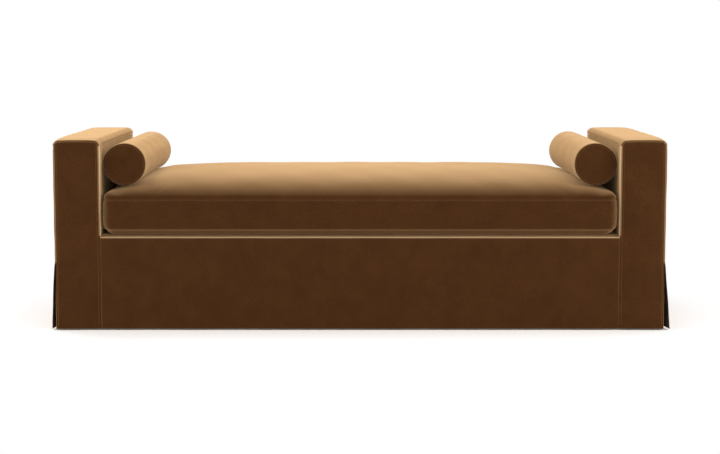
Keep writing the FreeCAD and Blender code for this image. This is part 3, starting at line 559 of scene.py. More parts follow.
THREAD = 0.0007           # its thickness
STITCH_LONG = 0.0042
STITCH_PITCH = 0.0058     # from one stitch to the next
thread, thread_shader, thread_place = start_material("waxed_polyester_thread", Roughness=0.5, IOR=1.5)
thread_twist = add_node(thread, "ShaderNodeTexNoise", {"Vector": thread_place, "Scale": 900.0})
thread_tone = add_node(
    thread, "ShaderNodeMix",
    {0: thread_twist.outputs["Fac"], 6: colour("#74502e"), 7: colour("#96703f")}, data_type="RGBA",
)
join(thread, thread_tone.outputs[2], thread_shader, "Base Color")
stitch_rows = {}


def stitch_row(body, points, normals):
    """Notes a row of stitches along points, to be made with the others of its body."""
    steps = np.linalg.norm(np.diff(points, axis=0), axis=1)
    run = np.concatenate([[0], np.cumsum(steps)])
    count = int((run[-1] - STITCH_LONG) / STITCH_PITCH)
    starts = (run[-1] - count * STITCH_PITCH - STITCH_LONG) / 2 + STITCH_PITCH * np.arange(count + 1)

    def at(where, rows):
        return np.stack([np.interp(where, run, rows[:, axis]) for axis in range(3)], axis=1)

    ends = [at(starts + STITCH_LONG * share, points) for share in (0, 0.5, 1)]
    stitch_rows.setdefault(body, []).append((ends, at(starts, normals)))


def sew(name, body):
    """Makes a body's noted stitches as one piece: short four-sided threads, sunk at both ends."""
    points = []
    for (first, middle, last), out in stitch_rows[body]:
        along = last - first
        along /= np.linalg.norm(along, axis=1, keepdims=True)
        out = out / np.linalg.norm(out, axis=1, keepdims=True)
        beside = np.cross(along, out)
        for place, lift, half in ((first, -0.5, 0.35), (middle, 0.35, 0.5), (last, -0.5, 0.35)):
            heart = place + out * THREAD * lift
            for across, up in ((1, 0), (0, 1), (-1, 0), (0, -1)):
                points.append(heart + (beside * across + out * up) * THREAD * half)
    count = 12                # points of one thread: three rings of four
    blocks = [np.stack(points[start:start + count], axis=1) for start in range(0, len(points), count)]
    cloud = np.concatenate(blocks, axis=0)
    ring = [[a, (a + 1) % 4, (a + 1) % 4 + 4, a + 4] for a in range(4)]
    pattern = np.array(ring + [[a + 4 for a in quad] for quad in ring] + [[3, 2, 1, 0], [8, 9, 10, 11]])
    faces = (pattern[None] + (np.arange(len(cloud)) * count)[:, None, None]).reshape(-1, 4)
    piece = link(name, mesh_of(name, cloud, faces), thread)
    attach(piece, body)
    return piece


# Arm panels
# Each arm is boxed: front and back panels, and an inside, a top and an outside panel between them.

RISE = top - CORNER - deck
ARC = CORNER * math.pi / 2
FLAT = outer - inner - 2 * CORNER
DROP = top - CORNER - hem
ROUND_LONG = RISE + 2 * ARC + FLAT + top - CORNER - hem
SEAM_LOW = arm_seam - deck
SEAM_FAR = RISE + 2 * ARC + FLAT + (top - CORNER - arm_seam)
WRAP_HALF = half_deep - ROLL + ROLL * SEAM_TURN


def arm_round(s):
    """Point and outward direction on the arm's outline, s metres up its inside face from the deck."""
    turn = np.clip((s - RISE) / ARC, 0, 1) + np.clip((s - RISE - ARC - FLAT) / ARC, 0, 1)
    angle = math.pi - turn * math.pi / 2
    x = np.interp(s, [0, RISE + ARC, RISE + ARC + FLAT], [inner + CORNER, inner + CORNER, outer - CORNER])
    over = RISE + 2 * ARC + FLAT
    z = np.interp(s, [0, RISE, over, over + DROP], [deck, top - CORNER, top - CORNER, hem])
    z = z + np.minimum(s, 0)
    return x + CORNER * np.cos(angle), z + CORNER * np.sin(angle), angle


def flare(y, z):
    """How far the side's free flap stands out, most at the hem beside the corner."""
    drop = np.clip((pleat_top - z) / (pleat_top - hem), 0, 1)
    reach = np.clip(1 - (half_deep - np.abs(y)) / FLARE_RUN, 0, 1)
    return hem_flare * drop ** 1.1 * reach ** 2


def arm_wrap(s, v, loose=1):
    """The right arm's boxed part, s metres round its outline and v metres from the middle of its depth."""
    x, z, angle = arm_round(s)
    straight = half_deep - ROLL
    turn = np.clip((np.abs(v) - straight) / ROLL, 0, SEAM_TURN)
    free = 1 - ease(z, pleat_top - 0.006, pleat_top + 0.010)
    free = free * (x > arm_middle) * loose
    rolled = np.minimum(np.abs(v), straight) + ROLL * np.sin(turn)
    open_edge = np.abs(v) + (ROLL - 0.0012 - ROLL * SEAM_TURN) * turn / SEAM_TURN
    y = np.sign(v) * (rolled * (1 - free) + open_edge * free)
    inset = ROLL * (1 - np.cos(turn)) * (1 - free)
    out = flare(y, z) * (x > arm_middle) * loose
    return np.stack([x - np.cos(angle) * inset + out, y, z - np.sin(angle) * inset], axis=-1)


def wrap_relief(seed):
    def relief(s, v):
        edge = WRAP_HALF - np.abs(v)
        x, z, _ = arm_round(s)
        low = ease(z, pleat_top - 0.02, pleat_top) + (x < arm_middle)
        seams = dip(edge) * np.clip(low, 0, 1) + dip(s - SEAM_LOW) + dip(s - SEAM_FAR)
        rows = dip(s - SEAM_LOW + STITCH_IN, 0.0010, 0.002) + dip(s - SEAM_FAR - STITCH_IN, 0.0010, 0.002)
        hem_line = dip(z - hem - HEM_TALL, 0.0006, 0.002) * (x > arm_middle)
        puff = 0.0016 * np.clip(edge / 0.12, 0, 1) ** 0.7
        skirt = ease(z, deck, hem) * (x > arm_middle)
        return seams + rows + hem_line + puff + 0.0008 * waver(s, v, seed, 0.16) * (1 + 1.2 * skirt)
    return relief


V_STATIONS = stations(-WRAP_HALF, WRAP_HALF, 0.012)
ARM_PANELS = {
    "inside": (stations(-0.013, SEAM_LOW, 0.012), "stretched"),
    "top": (np.unique(np.concatenate([
        stations(SEAM_LOW, SEAM_FAR, 0.008), RISE + ARC * np.linspace(0, 1, 9),
        RISE + ARC + FLAT + ARC * np.linspace(0, 1, 9)])), "stretched"),
    "outside": (np.unique(np.concatenate([
        stations(SEAM_FAR, ROUND_LONG, 0.012),
        ROUND_LONG - np.array([HEM_TALL, HEM_TALL + 0.002, HEM_TALL - 0.002])])),
        "hung"),
}

ARM_BRIGHTER_SHEEN = 0.030       # width of the inside panel's edges that get the brighter painted sheen
TOP_ROWS = {
    "inside": (SEAM_LOW - STITCH_IN,),
    "top": (SEAM_LOW + STITCH_IN / 2, SEAM_FAR - STITCH_IN / 2),
    "outside": (SEAM_FAR + STITCH_IN,),
}
for side_name, side in SIDES.items():
    for number, (panel, (s_stations, held)) in enumerate(ARM_PANELS.items()):
        relief = wrap_relief(number + 5 * (side > 0))
        points = over_grid(arm_wrap, relief, s_stations, V_STATIONS)
        for s_line in TOP_ROWS[panel]:
            v_line = np.linspace(-WRAP_HALF + 0.004, WRAP_HALF - 0.004, 400)
            row, out = surface(arm_wrap, relief, np.full_like(v_line, s_line), v_line)
            stitch_row("slipcover", mirrored(row, side), mirrored(out, side))
        part = f"arm_{panel}_{side_name}"
        piece = cloth_panel(f"slipcover_{part}", f"cover_{part}", mirrored(points, side), side < 0)
        # The inside panel's front and back edges get the brighter painted sheen.
        if panel == "inside":
            paint_brighter_sheen(piece, ARM_BRIGHTER_SHEEN)


def clear_of_edge(x, z):
    """Distance from a point of the front to the edge of its outline, arms and deck together."""
    half = (outer - inner) / 2
    across = np.abs(x - arm_middle) - (half - CORNER)
    up = z - (top - CORNER)
    past = np.hypot(np.maximum(across, 0), np.maximum(up, 0)) + np.minimum(np.maximum(across, up), 0)
    arm = CORNER - past
    inner_corner = np.hypot(np.maximum(x - inner, 0), np.maximum(deck - z, 0))
    beside = np.minimum(outer - x, np.minimum(top - z, inner_corner))
    arm = np.where((z < deck) & (x >= inner), beside, arm)
    slit = 0.004 * (1 - ease(z, pleat_top - 0.010, pleat_top + 0.006)) * (x > arm_middle)
    return np.where(x < inner, deck - z, arm + slit)


def front_place(x, z):
    clear = np.clip(clear_of_edge(x, z), 0, ROLL)
    depth = ROLL - np.sqrt(ROLL ** 2 - (ROLL - clear) ** 2)
    kick = 0.004 * np.clip((pleat_top - z) / (pleat_top - hem), 0, 1) * ease(x, outer - 0.12, outer)
    return np.stack([x, -half_deep + depth - kick, z], axis=-1)


def arm_front(a, z):
    """The arm's front panel: a runs from 0 at its inner edge to 1 at its outer edge."""
    ceiling = top - SEAM_IN
    radius = CORNER - SEAM_IN
    lift = np.clip(z - (ceiling - radius), 0, radius)
    shrink = radius - np.sqrt(radius ** 2 - lift ** 2)
    low = inner + SEAM_IN * ease(z, deck - SEAM_IN, deck + SEAM_IN)
    slit = np.interp(z, [hem, pleat_top], [SLIT_HEM, SLIT_TOP])
    free = 1 - ease(z, pleat_top - 0.004, pleat_top + 0.008)
    high = outer - SEAM_IN * (1 - free) - slit * free
    return front_place(low + shrink + (high - low - 2 * shrink) * a, z)


def arm_front_relief(seed):
    def relief(a, z):
        x = arm_front(a, z)[..., 0]
        clear = clear_of_edge(x, z)
        in_panel = np.minimum(clear, np.where(z < deck, x - inner, clear)) - SEAM_IN
        sew_in = dip(in_panel) + dip(in_panel - STITCH_IN, 0.0015, 0.0024)
        join_line = dip(x - inner) * ease(z, deck, deck - 0.01)
        hem_line = dip(z - hem - HEM_TALL, 0.0006, 0.002)
        puff = 0.0014 * np.clip(in_panel / 0.05, 0, 1)
        skirt = ease(z, deck, hem)
        uneven = 0.0007 * waver(x, z, seed, 0.14) * (1 + skirt)
        return sew_in * 0.8 + join_line * 0.4 + hem_line + puff + uneven
    return relief


A_WIDE = outer - inner
a_stations = stations(0, A_WIDE - 2 * SEAM_IN, 0.011) / (A_WIDE - 2 * SEAM_IN)
z_levels = np.unique(np.concatenate([
    stations(hem, top - SEAM_IN - CORNER, 0.012, near_low=HEM_FINE),
    [deck - 0.006, deck - 0.003, deck, deck + 0.003, deck + 0.006],
    [pleat_top, pleat_top + 0.004, pleat_top - 0.004],
    top - SEAM_IN - (CORNER - SEAM_IN) * (1 - np.sin(np.linspace(0, math.pi / 2, 10))),
]))
z_levels = spaced(z_levels, 0.0002)
for side_name, side in SIDES.items():
    for end_name, end in ENDS.items():
        relief = arm_front_relief(11 + side + 3 * end)
        points = mirrored(over_grid(arm_front, relief, a_stations, z_levels), side, end)
        part = f"arm_{end_name}_{side_name}"
        piece = cloth_panel(f"slipcover_{part}", f"cover_{part}", points, side * end > 0)
        for a_line in (STITCH_IN / A_WIDE, 1 - STITCH_IN / A_WIDE):
            z_line = np.linspace(hem + HEM_TALL, top - SEAM_IN - STITCH_IN, 240)
            row, out = surface(arm_front, relief, np.full_like(z_line, a_line), z_line)
            stitch_row("slipcover", mirrored(row, side, end), mirrored(out, side, end))


# Arm padding
# Sheets of the same foam, one wrapped over each arm from the deck to below the rail on its outside,
# and one on each end, glued to the plywood with their outer edges rounded by the knife.

PAD_GAP = 0.0042          # from the velvet's face to the foam's
PAD_THICK = 0.0115
pad_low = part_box("arm_foam_right")[0].z
pad_inner_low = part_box("deck_foam")[1].z
for side_name, side in SIDES.items():
    pad_v = np.linspace(-WRAP_HALF, WRAP_HALF, 50)
    pad_s = np.unique(np.concatenate([
        np.linspace(pad_inner_low - deck, RISE, 12), RISE + ARC * np.linspace(0, 1, 8),
        RISE + ARC + FLAT + ARC * np.linspace(0, 1, 8),
        np.linspace(SEAM_FAR, ROUND_LONG - (pad_low - hem), 16),
    ]))
    points = over_grid(
        lambda s, v: arm_wrap(s, v, 0), lambda s, v: 0.0004 * waver(s, v, 9, 0.1) - PAD_GAP, pad_s, pad_v,
    )
    faces = grid_faces(*points.shape[:2])
    clouds, sheets = [mirrored(points, side).reshape(-1, 3)], [faces if side > 0 else faces[:, ::-1]]
    for end in ENDS.values():
        pad_z = np.concatenate([
            np.linspace(pad_low, top - CORNER - 0.004, 18),
            top - SEAM_IN - (CORNER - SEAM_IN) * (1 - np.sin(np.linspace(0.1, math.pi / 2, 8))),
        ])
        points = over_grid(
            arm_front, lambda a, z: 0.0004 * waver(a, z, 8, 0.5) - PAD_GAP, np.linspace(0, 1, 14), pad_z,
        )
        faces = grid_faces(*points.shape[:2]) + sum(len(cloud) for cloud in clouds)
        clouds.append(mirrored(points, side, end).reshape(-1, 3))
        sheets.append(faces[:, ::-1] if side * end > 0 else faces)
    name = f"arm_padding_{side_name}"
    padding = link(name, mesh_of(name, np.concatenate(clouds), np.concatenate(sheets)), foam)
    thicken(padding, PAD_THICK)
    stand_for(padding, "frame", "foam", f"arm_foam_{side_name}")


# Centre front and back panels, and the deck
# The deck panel turns over its padded front and back edges, and is sewn to the panels below them.

skirt_top = deck - DECK_SINK - DECK_ROLL


def centre_place(x, z):
    return np.stack([x, -half_deep + 0 * z, z + 0 * x], axis=-1)


def centre_relief(seed):
    def relief(x, z):
        seams = dip(skirt_top - z) + dip(inner - np.abs(x))
        rows = dip(z - hem - HEM_TALL, 0.0006, 0.002)
        skirt = ease(z, deck, hem)
        return seams + rows + 0.0009 * waver(x, z, seed, 0.24) * (0.6 + 1.4 * skirt)
    return relief


deck_reach = half_deep - DECK_ROLL + DECK_ROLL * math.pi / 2
NOSING = 0.0130           # the padded edge in front of the deck's own seam
NOSING_SEAM = 0.0034      # how deep that seam is drawn in


def deck_place(x, v):
    """The deck, v metres from its middle towards the back, turning down over both its edges."""
    turn = np.clip((np.abs(v) - (half_deep - DECK_ROLL)) / DECK_ROLL, 0, math.pi / 2)
    y = np.sign(v) * (np.minimum(np.abs(v), half_deep - DECK_ROLL) + DECK_ROLL * np.sin(turn))
    sunk = DECK_SINK * np.clip((np.abs(v) - half_deep + DECK_SLOPE) / (DECK_SLOPE - DECK_ROLL), 0, 1) ** 1.2
    sunk = sunk - dip(half_deep - NOSING - np.abs(v), NOSING_SEAM, 0.0022)
    return np.stack([x, y, deck - sunk - DECK_ROLL * (1 - np.cos(turn))], axis=-1)


def deck_relief(x, v):
    edge = deck_reach - np.abs(v)
    return dip(edge) + dip(inner - np.abs(x)) + 0.0003 * waver(x, v, 3, 0.2)


x_stations = stations(-inner, inner, 0.014)
for end_name, end in ENDS.items():
    levels = stations(hem, skirt_top, 0.012, near_low=HEM_FINE)
    points = mirrored(over_grid(centre_place, centre_relief(20 + end), x_stations, levels), 1, end)
    piece = cloth_panel(f"slipcover_centre_{end_name}", f"cover_{end_name}", points, end > 0)

NOSING_FINE = FINE + (0.0125, 0.0134, 0.0143, 0.0159, 0.0168, 0.0177, 0.0190)
deck_stations = spaced(stations(-deck_reach, deck_reach, 0.014, NOSING_FINE, NOSING_FINE), 0.0003)
deck_pad_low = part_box("deck_foam")[0].z
DECK_PAD_GAP = 0.0026     # from the velvet's face to the foam's
pad_reach = half_deep - NOSING - 0.0050     # the foam ends behind the deck's seam
pad_v = stations(-pad_reach, pad_reach, 0.014, near_low=(0,), near_high=(0,))
pad_points = over_grid(
    deck_place, lambda x, v: 0.0003 * waver(x, v, 7, 0.1) - DECK_PAD_GAP,
    np.linspace(-inner + 0.004, inner - 0.004, 60), pad_v,
)
deck_pad = link("deck_pad", mesh_of("deck_pad", pad_points, grid_faces(*pad_points.shape[:2])), foam)
thicken(deck_pad, deck - DECK_PAD_GAP - deck_pad_low)
stand_for(deck_pad, "frame", "foam", "deck_foam")
points = over_grid(deck_place, deck_relief, x_stations, deck_stations)
piece = cloth_panel("slipcover_deck_panel", "cover_deck", points, False)
# The deck's nosing gets the brighter painted sheen.
paint_brighter_sheen(piece, NOSING - 0.0015)


# Kick pleats
# A piece of velvet folded round each corner behind the open slit, sewn in along its top.

PLEAT_LEG = 0.090
PLEAT_BEHIND = 0.0034     # how far it lies behind the outer panels
PLEAT_CORNER = 0.010


def pleat_place(u, z):
    """The right front pleat: u runs along its front leg, round the corner and back along the side."""
    leg = PLEAT_LEG - PLEAT_BEHIND - PLEAT_CORNER
    turn = np.clip((u - leg) / PLEAT_CORNER, 0, math.pi / 2)
    past = np.maximum(u - leg - PLEAT_CORNER * math.pi / 2, 0)
    x = outer - PLEAT_BEHIND - PLEAT_CORNER + np.minimum(u - leg, 0) + PLEAT_CORNER * np.sin(turn)
    y = -half_deep + PLEAT_BEHIND + PLEAT_CORNER * (1 - np.cos(turn)) + past
    return np.stack([x, y, z + 0 * u], axis=-1)


pleat_long = 2 * (PLEAT_LEG - PLEAT_BEHIND - PLEAT_CORNER) + PLEAT_CORNER * math.pi / 2
for side_name, side in SIDES.items():
    for end_name, end in ENDS.items():
        points = mirrored(over_grid(
            pleat_place, lambda u, z: 0.0003 * waver(u, z, 2, 0.05),
            np.linspace(0, pleat_long, 40), np.linspace(hem + 0.001, pleat_top, 24),
        ), side, end)
        piece = cloth_panel(f"kick_pleat_{end_name}_{side_name}", "kick_pleats", points, side * end > 0)

sew("slipcover_topstitching", "slipcover")


# Seat cushion
# One long boxed cushion, a foam block in fibre wrap in a velvet cover. The fill crowns its top and
# draws its lower edge in; both seams are topstitched on the boxing, and the zip is in the back.

seat_low, seat_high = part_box("seat_cushion_cover")
half_long, half_wide = seat_high.x, seat_high.y
BOTTOM_SEAM = deck + 0.0157
TOP_SEAM = BOTTOM_SEAM + 0.1105
SWELL = 0.0030            # how much the simulated filling raises the top
CROWN = seat_high.z - TOP_SEAM - SWELL
CROWN_ALONG = 5.15
CROWN_ACROSS = 2.8
DRAW = 0.008              # depth over which the front's and back's lower edges turn under
END_DRAW = 0.006          # the same at the ends, before they are rounded
END_STEPS = np.array([0.0004, 0.0011, 0.0021, 0.0033, 0.0047, 0.0062])
END_ROUND = 0.042         # radius of the lower ends, seen from the front, where the fill draws them in
UNDER_ROUND = 0.007       # the same of the lower long edges, seen from an end
TUCK = 0.45               # slope at which the front and back draw in below the bottom seam
UNDER_LIFT = 0.0012       # how far the fill lifts the underside off the deck behind its edges
PLAN_CORNER = 0.026       # radius of the corners, in plan
CORNER_ZONE = 0.060
SHOULDER_FALL = 0.006     # how far the crown falls short at its ends, this far in and this wide
SHOULDER_IN = 0.040
SHOULDER_WIDE = 0.035
bolster_low, bolster_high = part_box("bolster_right_cover")
bolster_x = (bolster_low.x + bolster_high.x) / 2
bolster_z = (bolster_low.z + bolster_high.z) / 2
bolster_radius = (bolster_high.z - bolster_low.z) / 2
bolster_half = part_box("bolster_right_ends")[1].y
zip_low, zip_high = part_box("seat_zip")


def plan_round(x, y):
    """Rounds the cushion's corners, in plan."""
    a = np.clip((np.abs(x) - half_long + CORNER_ZONE) / CORNER_ZONE, 0, 1)
    b = np.clip((np.abs(y) - half_wide + CORNER_ZONE) / CORNER_ZONE, 0, 1)
    length = np.maximum(np.hypot(a, b), 1e-9)
    heart = 1 - PLAN_CORNER / CORNER_ZONE
    towards = heart * (a + b) / length
    arc = towards + np.sqrt(np.maximum(towards ** 2 - 2 * heart ** 2 + (1 - heart) ** 2, 0))
    square = length / np.maximum(np.maximum(a, b), 1e-9)
    on_arc = np.minimum(a, b) > heart * np.maximum(a, b)
    shrink = np.where(on_arc, 1 - arc / square, 0) * np.maximum(a, b) ** 4
    x_new = np.sign(x) * (np.abs(x) - CORNER_ZONE * a * shrink)
    y_new = np.sign(y) * (np.abs(y) - CORNER_ZONE * b * shrink)
    return x_new, y_new


def end_round(points):
    """Rounds the cushion's lower ends, and draws in and rounds its lower long edges."""
    tucked = TUCK * np.clip(BOTTOM_SEAM + 0.007 - points[:, 2], 0, 1)
    points[:, 1] *= 1 - tucked / half_wide
    for axis, half, radius in ((0, half_long, END_ROUND), (1, half_wide, UNDER_ROUND)):
        down = np.clip(seat_low.z + radius - points[:, 2], 0, radius)
        inset = radius - np.sqrt(radius ** 2 - down ** 2)
        near = np.clip(1 - (half - np.abs(points[:, axis])) / (2.2 * radius), 0, 1)
        points[:, axis] -= np.sign(points[:, axis]) * inset * near ** 1.5
    return points


def crown(x, y):
    """The cushion's top, pressed down softly where the bolsters lie."""
    along = np.maximum(1 - np.abs(x / half_long) ** CROWN_ALONG, 1e-6)
    across = np.maximum(1 - np.abs(y / half_wide) ** CROWN_ACROSS, 1e-6)
    swell = (along ** -2 + across ** -2 - 1) ** -0.5
    height = TOP_SEAM + CROWN * np.sqrt(np.where(swell < 2e-6, 0, swell))
    inside = half_long - np.abs(x)
    shoulder = np.exp(-((inside - SHOULDER_IN) / SHOULDER_WIDE) ** 2)
    height -= SHOULDER_FALL * shoulder * ease(inside, 0, 0.045) * ease(height - TOP_SEAM, 0, 0.03)
    aside = np.minimum(np.abs(np.abs(x) - bolster_x) / bolster_radius, 0.98)
    under = bolster_z - bolster_radius * np.sqrt(1 - aside ** 2) - 0.0006
    under = under + 0.06 * ease(np.abs(y), bolster_half - 0.004, bolster_half + 0.05)
    soft = 0.004
    blend = np.clip(0.5 + 0.5 * (height - under) / soft, 0, 1)
    pressed = height * (1 - blend) + under * blend - soft * blend * (1 - blend)
    return np.where(aside < 0.975, np.minimum(height, pressed), height)


def even_run(half, power, step):
    """Places from -half to half whose spacing along the crown's curve is even."""
    fine = half * np.sin(np.linspace(-math.pi / 2, math.pi / 2, 4001))
    height = CROWN * np.sqrt(np.clip(1 - np.abs(fine / half) ** power, 0, 1))
    run = np.concatenate([[0], np.cumsum(np.hypot(np.diff(fine), np.diff(height)))])
    return np.interp(np.linspace(0, run[-1], round(run[-1] / step) + 1), run, fine)


def cushion_grids(step, levels):
    """The cushion's six faces as grids of points, edges shared: top, bottom and the four boxings."""
    xs, ys = even_run(half_long, CROWN_ALONG, step), even_run(half_wide, CROWN_ACROSS, step)
    xs = np.unique(np.concatenate([xs, half_long - END_STEPS, END_STEPS - half_long]))
    x, y = np.meshgrid(xs, ys, indexing="ij")
    rx, ry = plan_round(x, y)
    top_face = np.stack([rx, ry, crown(x, y)], axis=-1)
    edge = np.minimum(half_long - np.abs(x), half_wide - np.abs(y))
    inset = np.clip(np.minimum((half_long - np.abs(x)) / END_DRAW, (half_wide - np.abs(y)) / DRAW), 0, 1)
    hollow = UNDER_LIFT * (1 - ease(edge, DRAW, 0.07))
    bottom_z = BOTTOM_SEAM - (BOTTOM_SEAM - seat_low.z - hollow) * np.sqrt(1 - (1 - inset) ** 2)
    bottom_face = np.stack([rx, ry, bottom_z], axis=-1)
    grids = [(top_face, False), (bottom_face, True)]
    for end in (-1, 1):
        x, z = np.meshgrid(xs, levels, indexing="ij")
        rx, ry = plan_round(x, np.full_like(x, end * half_wide))
        grids.append((np.stack([rx, ry, z], axis=-1), end > 0))
        y, z = np.meshgrid(ys, levels, indexing="ij")
        rx, ry = plan_round(np.full_like(y, end * half_long), y)
        grids.append((np.stack([rx, ry, z], axis=-1), end < 0))
    return grids


def closed_mesh(name, grids):
    """One closed mesh from grids that share their edges."""
    points, faces, start = [], [], 0
    for grid, flip in grids:
        quads = grid_faces(*grid.shape[:2]) + start
        points.append(grid.reshape(-1, 3))
        faces.append(quads[:, ::-1] if flip else quads)
        start += grid.shape[0] * grid.shape[1]
    work = bmesh.new()
    mesh = mesh_of(name, np.concatenate(points), np.concatenate(faces))
    work.from_mesh(mesh)
    bmesh.ops.remove_doubles(work, verts=work.verts, dist=1e-5)
    bmesh.ops.recalc_face_normals(work, faces=work.faces)
    work.to_mesh(mesh)
    work.free()
    mesh.shade_smooth()
    return mesh


def coordinates(items, field="co"):
    """Three numbers of every point in a mesh's list, its place or its normal."""
    flat = np.empty(len(items) * 3)
    items.foreach_get(field, flat)
    return flat.reshape(-1, 3)


def normals_of(mesh):
    return coordinates(mesh.vertex_normals, "vector")


def set_coordinates(mesh, points):
    mesh.vertices.foreach_set("co", points.ravel())
    mesh.update()


def inflated(mesh, voxel, cap):
    """The moves of a cover's points when it is blown up as cloth, read back from a voxel copy."""
    scene = bpy.context.scene
    balloon = bpy.data.objects.new("balloon", mesh.copy())
    scene.collection.objects.link(balloon)
    voxels = balloon.modifiers.new("voxels", "REMESH")
    voxels.mode = "VOXEL"
    voxels.voxel_size = voxel
    skin = bpy.data.meshes.new_from_object(balloon.evaluated_get(bpy.context.evaluated_depsgraph_get()))
    balloon.modifiers.clear()
    balloon.data = skin
    start = coordinates(skin.vertices)
    cloth = balloon.modifiers.new("cloth", "CLOTH")
    cloth.settings.use_pressure = True
    cloth.settings.uniform_pressure_force = PRESSURE
    cloth.settings.effector_weights.gravity = 0
    cloth.point_cache.frame_start = 1
    cloth.point_cache.frame_end = LAST_FRAME
    for step in range(1, LAST_FRAME + 1):
        scene.frame_set(step)
    blown = balloon.evaluated_get(bpy.context.evaluated_depsgraph_get()).to_mesh()
    moves = coordinates(blown.vertices) - start
    far = np.linalg.norm(moves, axis=1, keepdims=True)
    moves = moves / np.maximum(far, 1e-9) * cap * np.tanh(far / cap)
    scene.frame_set(1)
    near = KDTree(len(start))
    for number, spot in enumerate(start):
        near.insert(spot, number)
    near.balance()
    found = np.zeros((len(mesh.vertices), 3))
    for number, spot in enumerate(coordinates(mesh.vertices)):
        weights, total = 0.0, np.zeros(3)
        for _, other, distance in near.find_n(spot, 6):
            weight = 1 / (distance + voxel / 4) ** 2
            weights += weight
            total = total + moves[other] * weight
        found[number] = total / weights
    bpy.data.objects.remove(balloon)
    return found


PRESSURE = 4
LAST_FRAME = 16
SEAT_CAP = 0.0042         # the most that the filling may move a point of the seat cushion
SEAT_ROW = 0.0050         # from the top seam to its topstitching
LOW_ROW = 0.0065          # the same from the bottom seam
BOXING_BULGE = 0.0045     # how far the boxing swells between its seams
ROW_ENDS = 0.012          # where the topstitching stops, before the corners
seam_levels = stations(BOTTOM_SEAM, TOP_SEAM, 0.011)
zip_middle = (zip_low.z + zip_high.z) / 2
zip_levels = zip_middle + np.array([-7, -5.4, -4.6, 4.6, 5.4, 7]) / 1000
seam_levels = np.unique(np.concatenate([seam_levels, zip_levels]))
seat_mesh = closed_mesh("seat_cushion_velvet", cushion_grids(0.009, seam_levels))
points = coordinates(seat_mesh.vertices)
outward = normals_of(seat_mesh)
seat_moves = inflated(seat_mesh, 0.010, SEAT_CAP)
share = np.clip((points[:, 2] - BOTTOM_SEAM) / (TOP_SEAM - BOTTOM_SEAM), 0, 1)
on_side = (points[:, 2] >= BOTTOM_SEAM - 1e-6) & (points[:, 2] <= TOP_SEAM + 1e-6)
bulge = np.where(on_side, BOXING_BULGE * np.sin(math.pi * share) ** 0.8, 0)
from_top = points[:, 2] - TOP_SEAM
from_bottom = points[:, 2] - BOTTOM_SEAM
edge_gap = np.minimum(half_long - np.abs(points[:, 0]), half_wide - np.abs(points[:, 1]))
grooves = dip(from_top, 0.0028, 0.0030) + dip(from_bottom, 0.0024, 0.0030)
rows = dip(from_top + SEAT_ROW, 0.0006, 0.002) + dip(from_bottom - LOW_ROW, 0.0006, 0.002)
grooves += np.where(on_side, rows, 0)
lumps = 0.0016 * waver(points[:, 0], points[:, 1] + points[:, 2], 4, 0.22) * np.clip(edge_gap / 0.06, 0.15, 1)
lumps = np.where(points[:, 2] < BOTTOM_SEAM, 0, lumps)
back = (points[:, 1] > half_wide - 0.02) & (np.abs(points[:, 0]) < zip_high.x + 0.004)
slot_depth = np.where(back & (np.abs(points[:, 2] - zip_middle) < 0.0050), -0.0026, 0)
bulge = np.where(back, 0, bulge)
free = np.where(points[:, 2] < BOTTOM_SEAM, 0, np.clip((points[:, 2] - BOTTOM_SEAM) / 0.05, 0, 1))
beside_bolster = np.abs(np.abs(points[:, 0]) - bolster_x) / bolster_radius
free = free * np.where(points[:, 2] > TOP_SEAM, ease(beside_bolster, 0.8, 1.5), 1) * np.where(back, 0, 1)
free = free * np.where(np.abs(points[:, 0]) > half_long - 0.03, 0.3, 1)
free = free * (1 - np.exp(-(np.minimum(np.abs(from_top), np.abs(from_bottom)) / 0.012) ** 2))
points = points + seat_moves * free[:, None]
set_coordinates(seat_mesh, end_round(points + outward * (bulge + grooves + lumps + slot_depth)[:, None]))
seat = link("seat_cushion_velvet", seat_mesh, brown_velvet)
stand_for(seat, "seat_cushion", "cushion_velvet", "seat_cushion_cover")

seat_tree = BVHTree.FromPolygons(
    [v.co for v in seat_mesh.vertices], [p.vertices[:] for p in seat_mesh.polygons],
)


def seat_row(x, y, level):
    """Notes a row of stitches on the boxing at that level, over places in plan."""
    row, out = [], []
    for rx, ry in zip(*plan_round(x, y)):
        spot, normal, _, _ = seat_tree.find_nearest(Vector((float(rx), float(ry), level)))
        row.append(spot[:])
        out.append(normal[:])
    stitch_row("seat_cushion", np.array(row), np.array(out))


row_x = np.linspace(-(half_long - ROW_ENDS), half_long - ROW_ENDS, 500)
row_y = np.linspace(-half_wide + ROW_ENDS, half_wide - ROW_ENDS, 300)
for level in (TOP_SEAM - SEAT_ROW, BOTTOM_SEAM + LOW_ROW):
    for end in ENDS.values():
        seat_row(row_x, np.full_like(row_x, end * half_wide), level)
        seat_row(np.full_like(row_y, end * half_long), row_y, level)
sew("seat_cushion_topstitching", "seat_cushion")

fibre = soft_block("polyester_fibre", "#f2f1ec", "#d8d6cf", 0.004, 1.0, 0.4)
WRAP_GAP = 0.004          # from the velvet's face to the fibre's
seat_levels = np.linspace(BOTTOM_SEAM, TOP_SEAM, 8)
wrap_mesh = closed_mesh("seat_fibre_filling", cushion_grids(0.03, seat_levels))
wrap_points = coordinates(wrap_mesh.vertices) - normals_of(wrap_mesh) * WRAP_GAP
set_coordinates(wrap_mesh, end_round(wrap_points * np.array([0.996, 0.993, 1.0])))
wrap = link("seat_fibre_filling", wrap_mesh, fibre)
stand_for(wrap, "seat_cushion", "fibre", "seat_fibre_wrap")
core = cut_padding("seat_foam_block", "seat_foam_core", foam, "foam", FOAM_EDGE)


# Zips
# Bronzed sliders on woven polyester tape with a nylon coil, set flush between two folded edges.

zip_tape = woven("woven_zip_tape", "#3a2617", "#1d120a", 0.0012, 0.75, 0.5)
bronze = plated_steel("bronzed_zinc", "#6b5a41", "#43372a", 0.002, 0.4)
dress("seat_zip", zip_tape, 0.0003)
dress("seat_zip_slider", bronze, 0.0006)


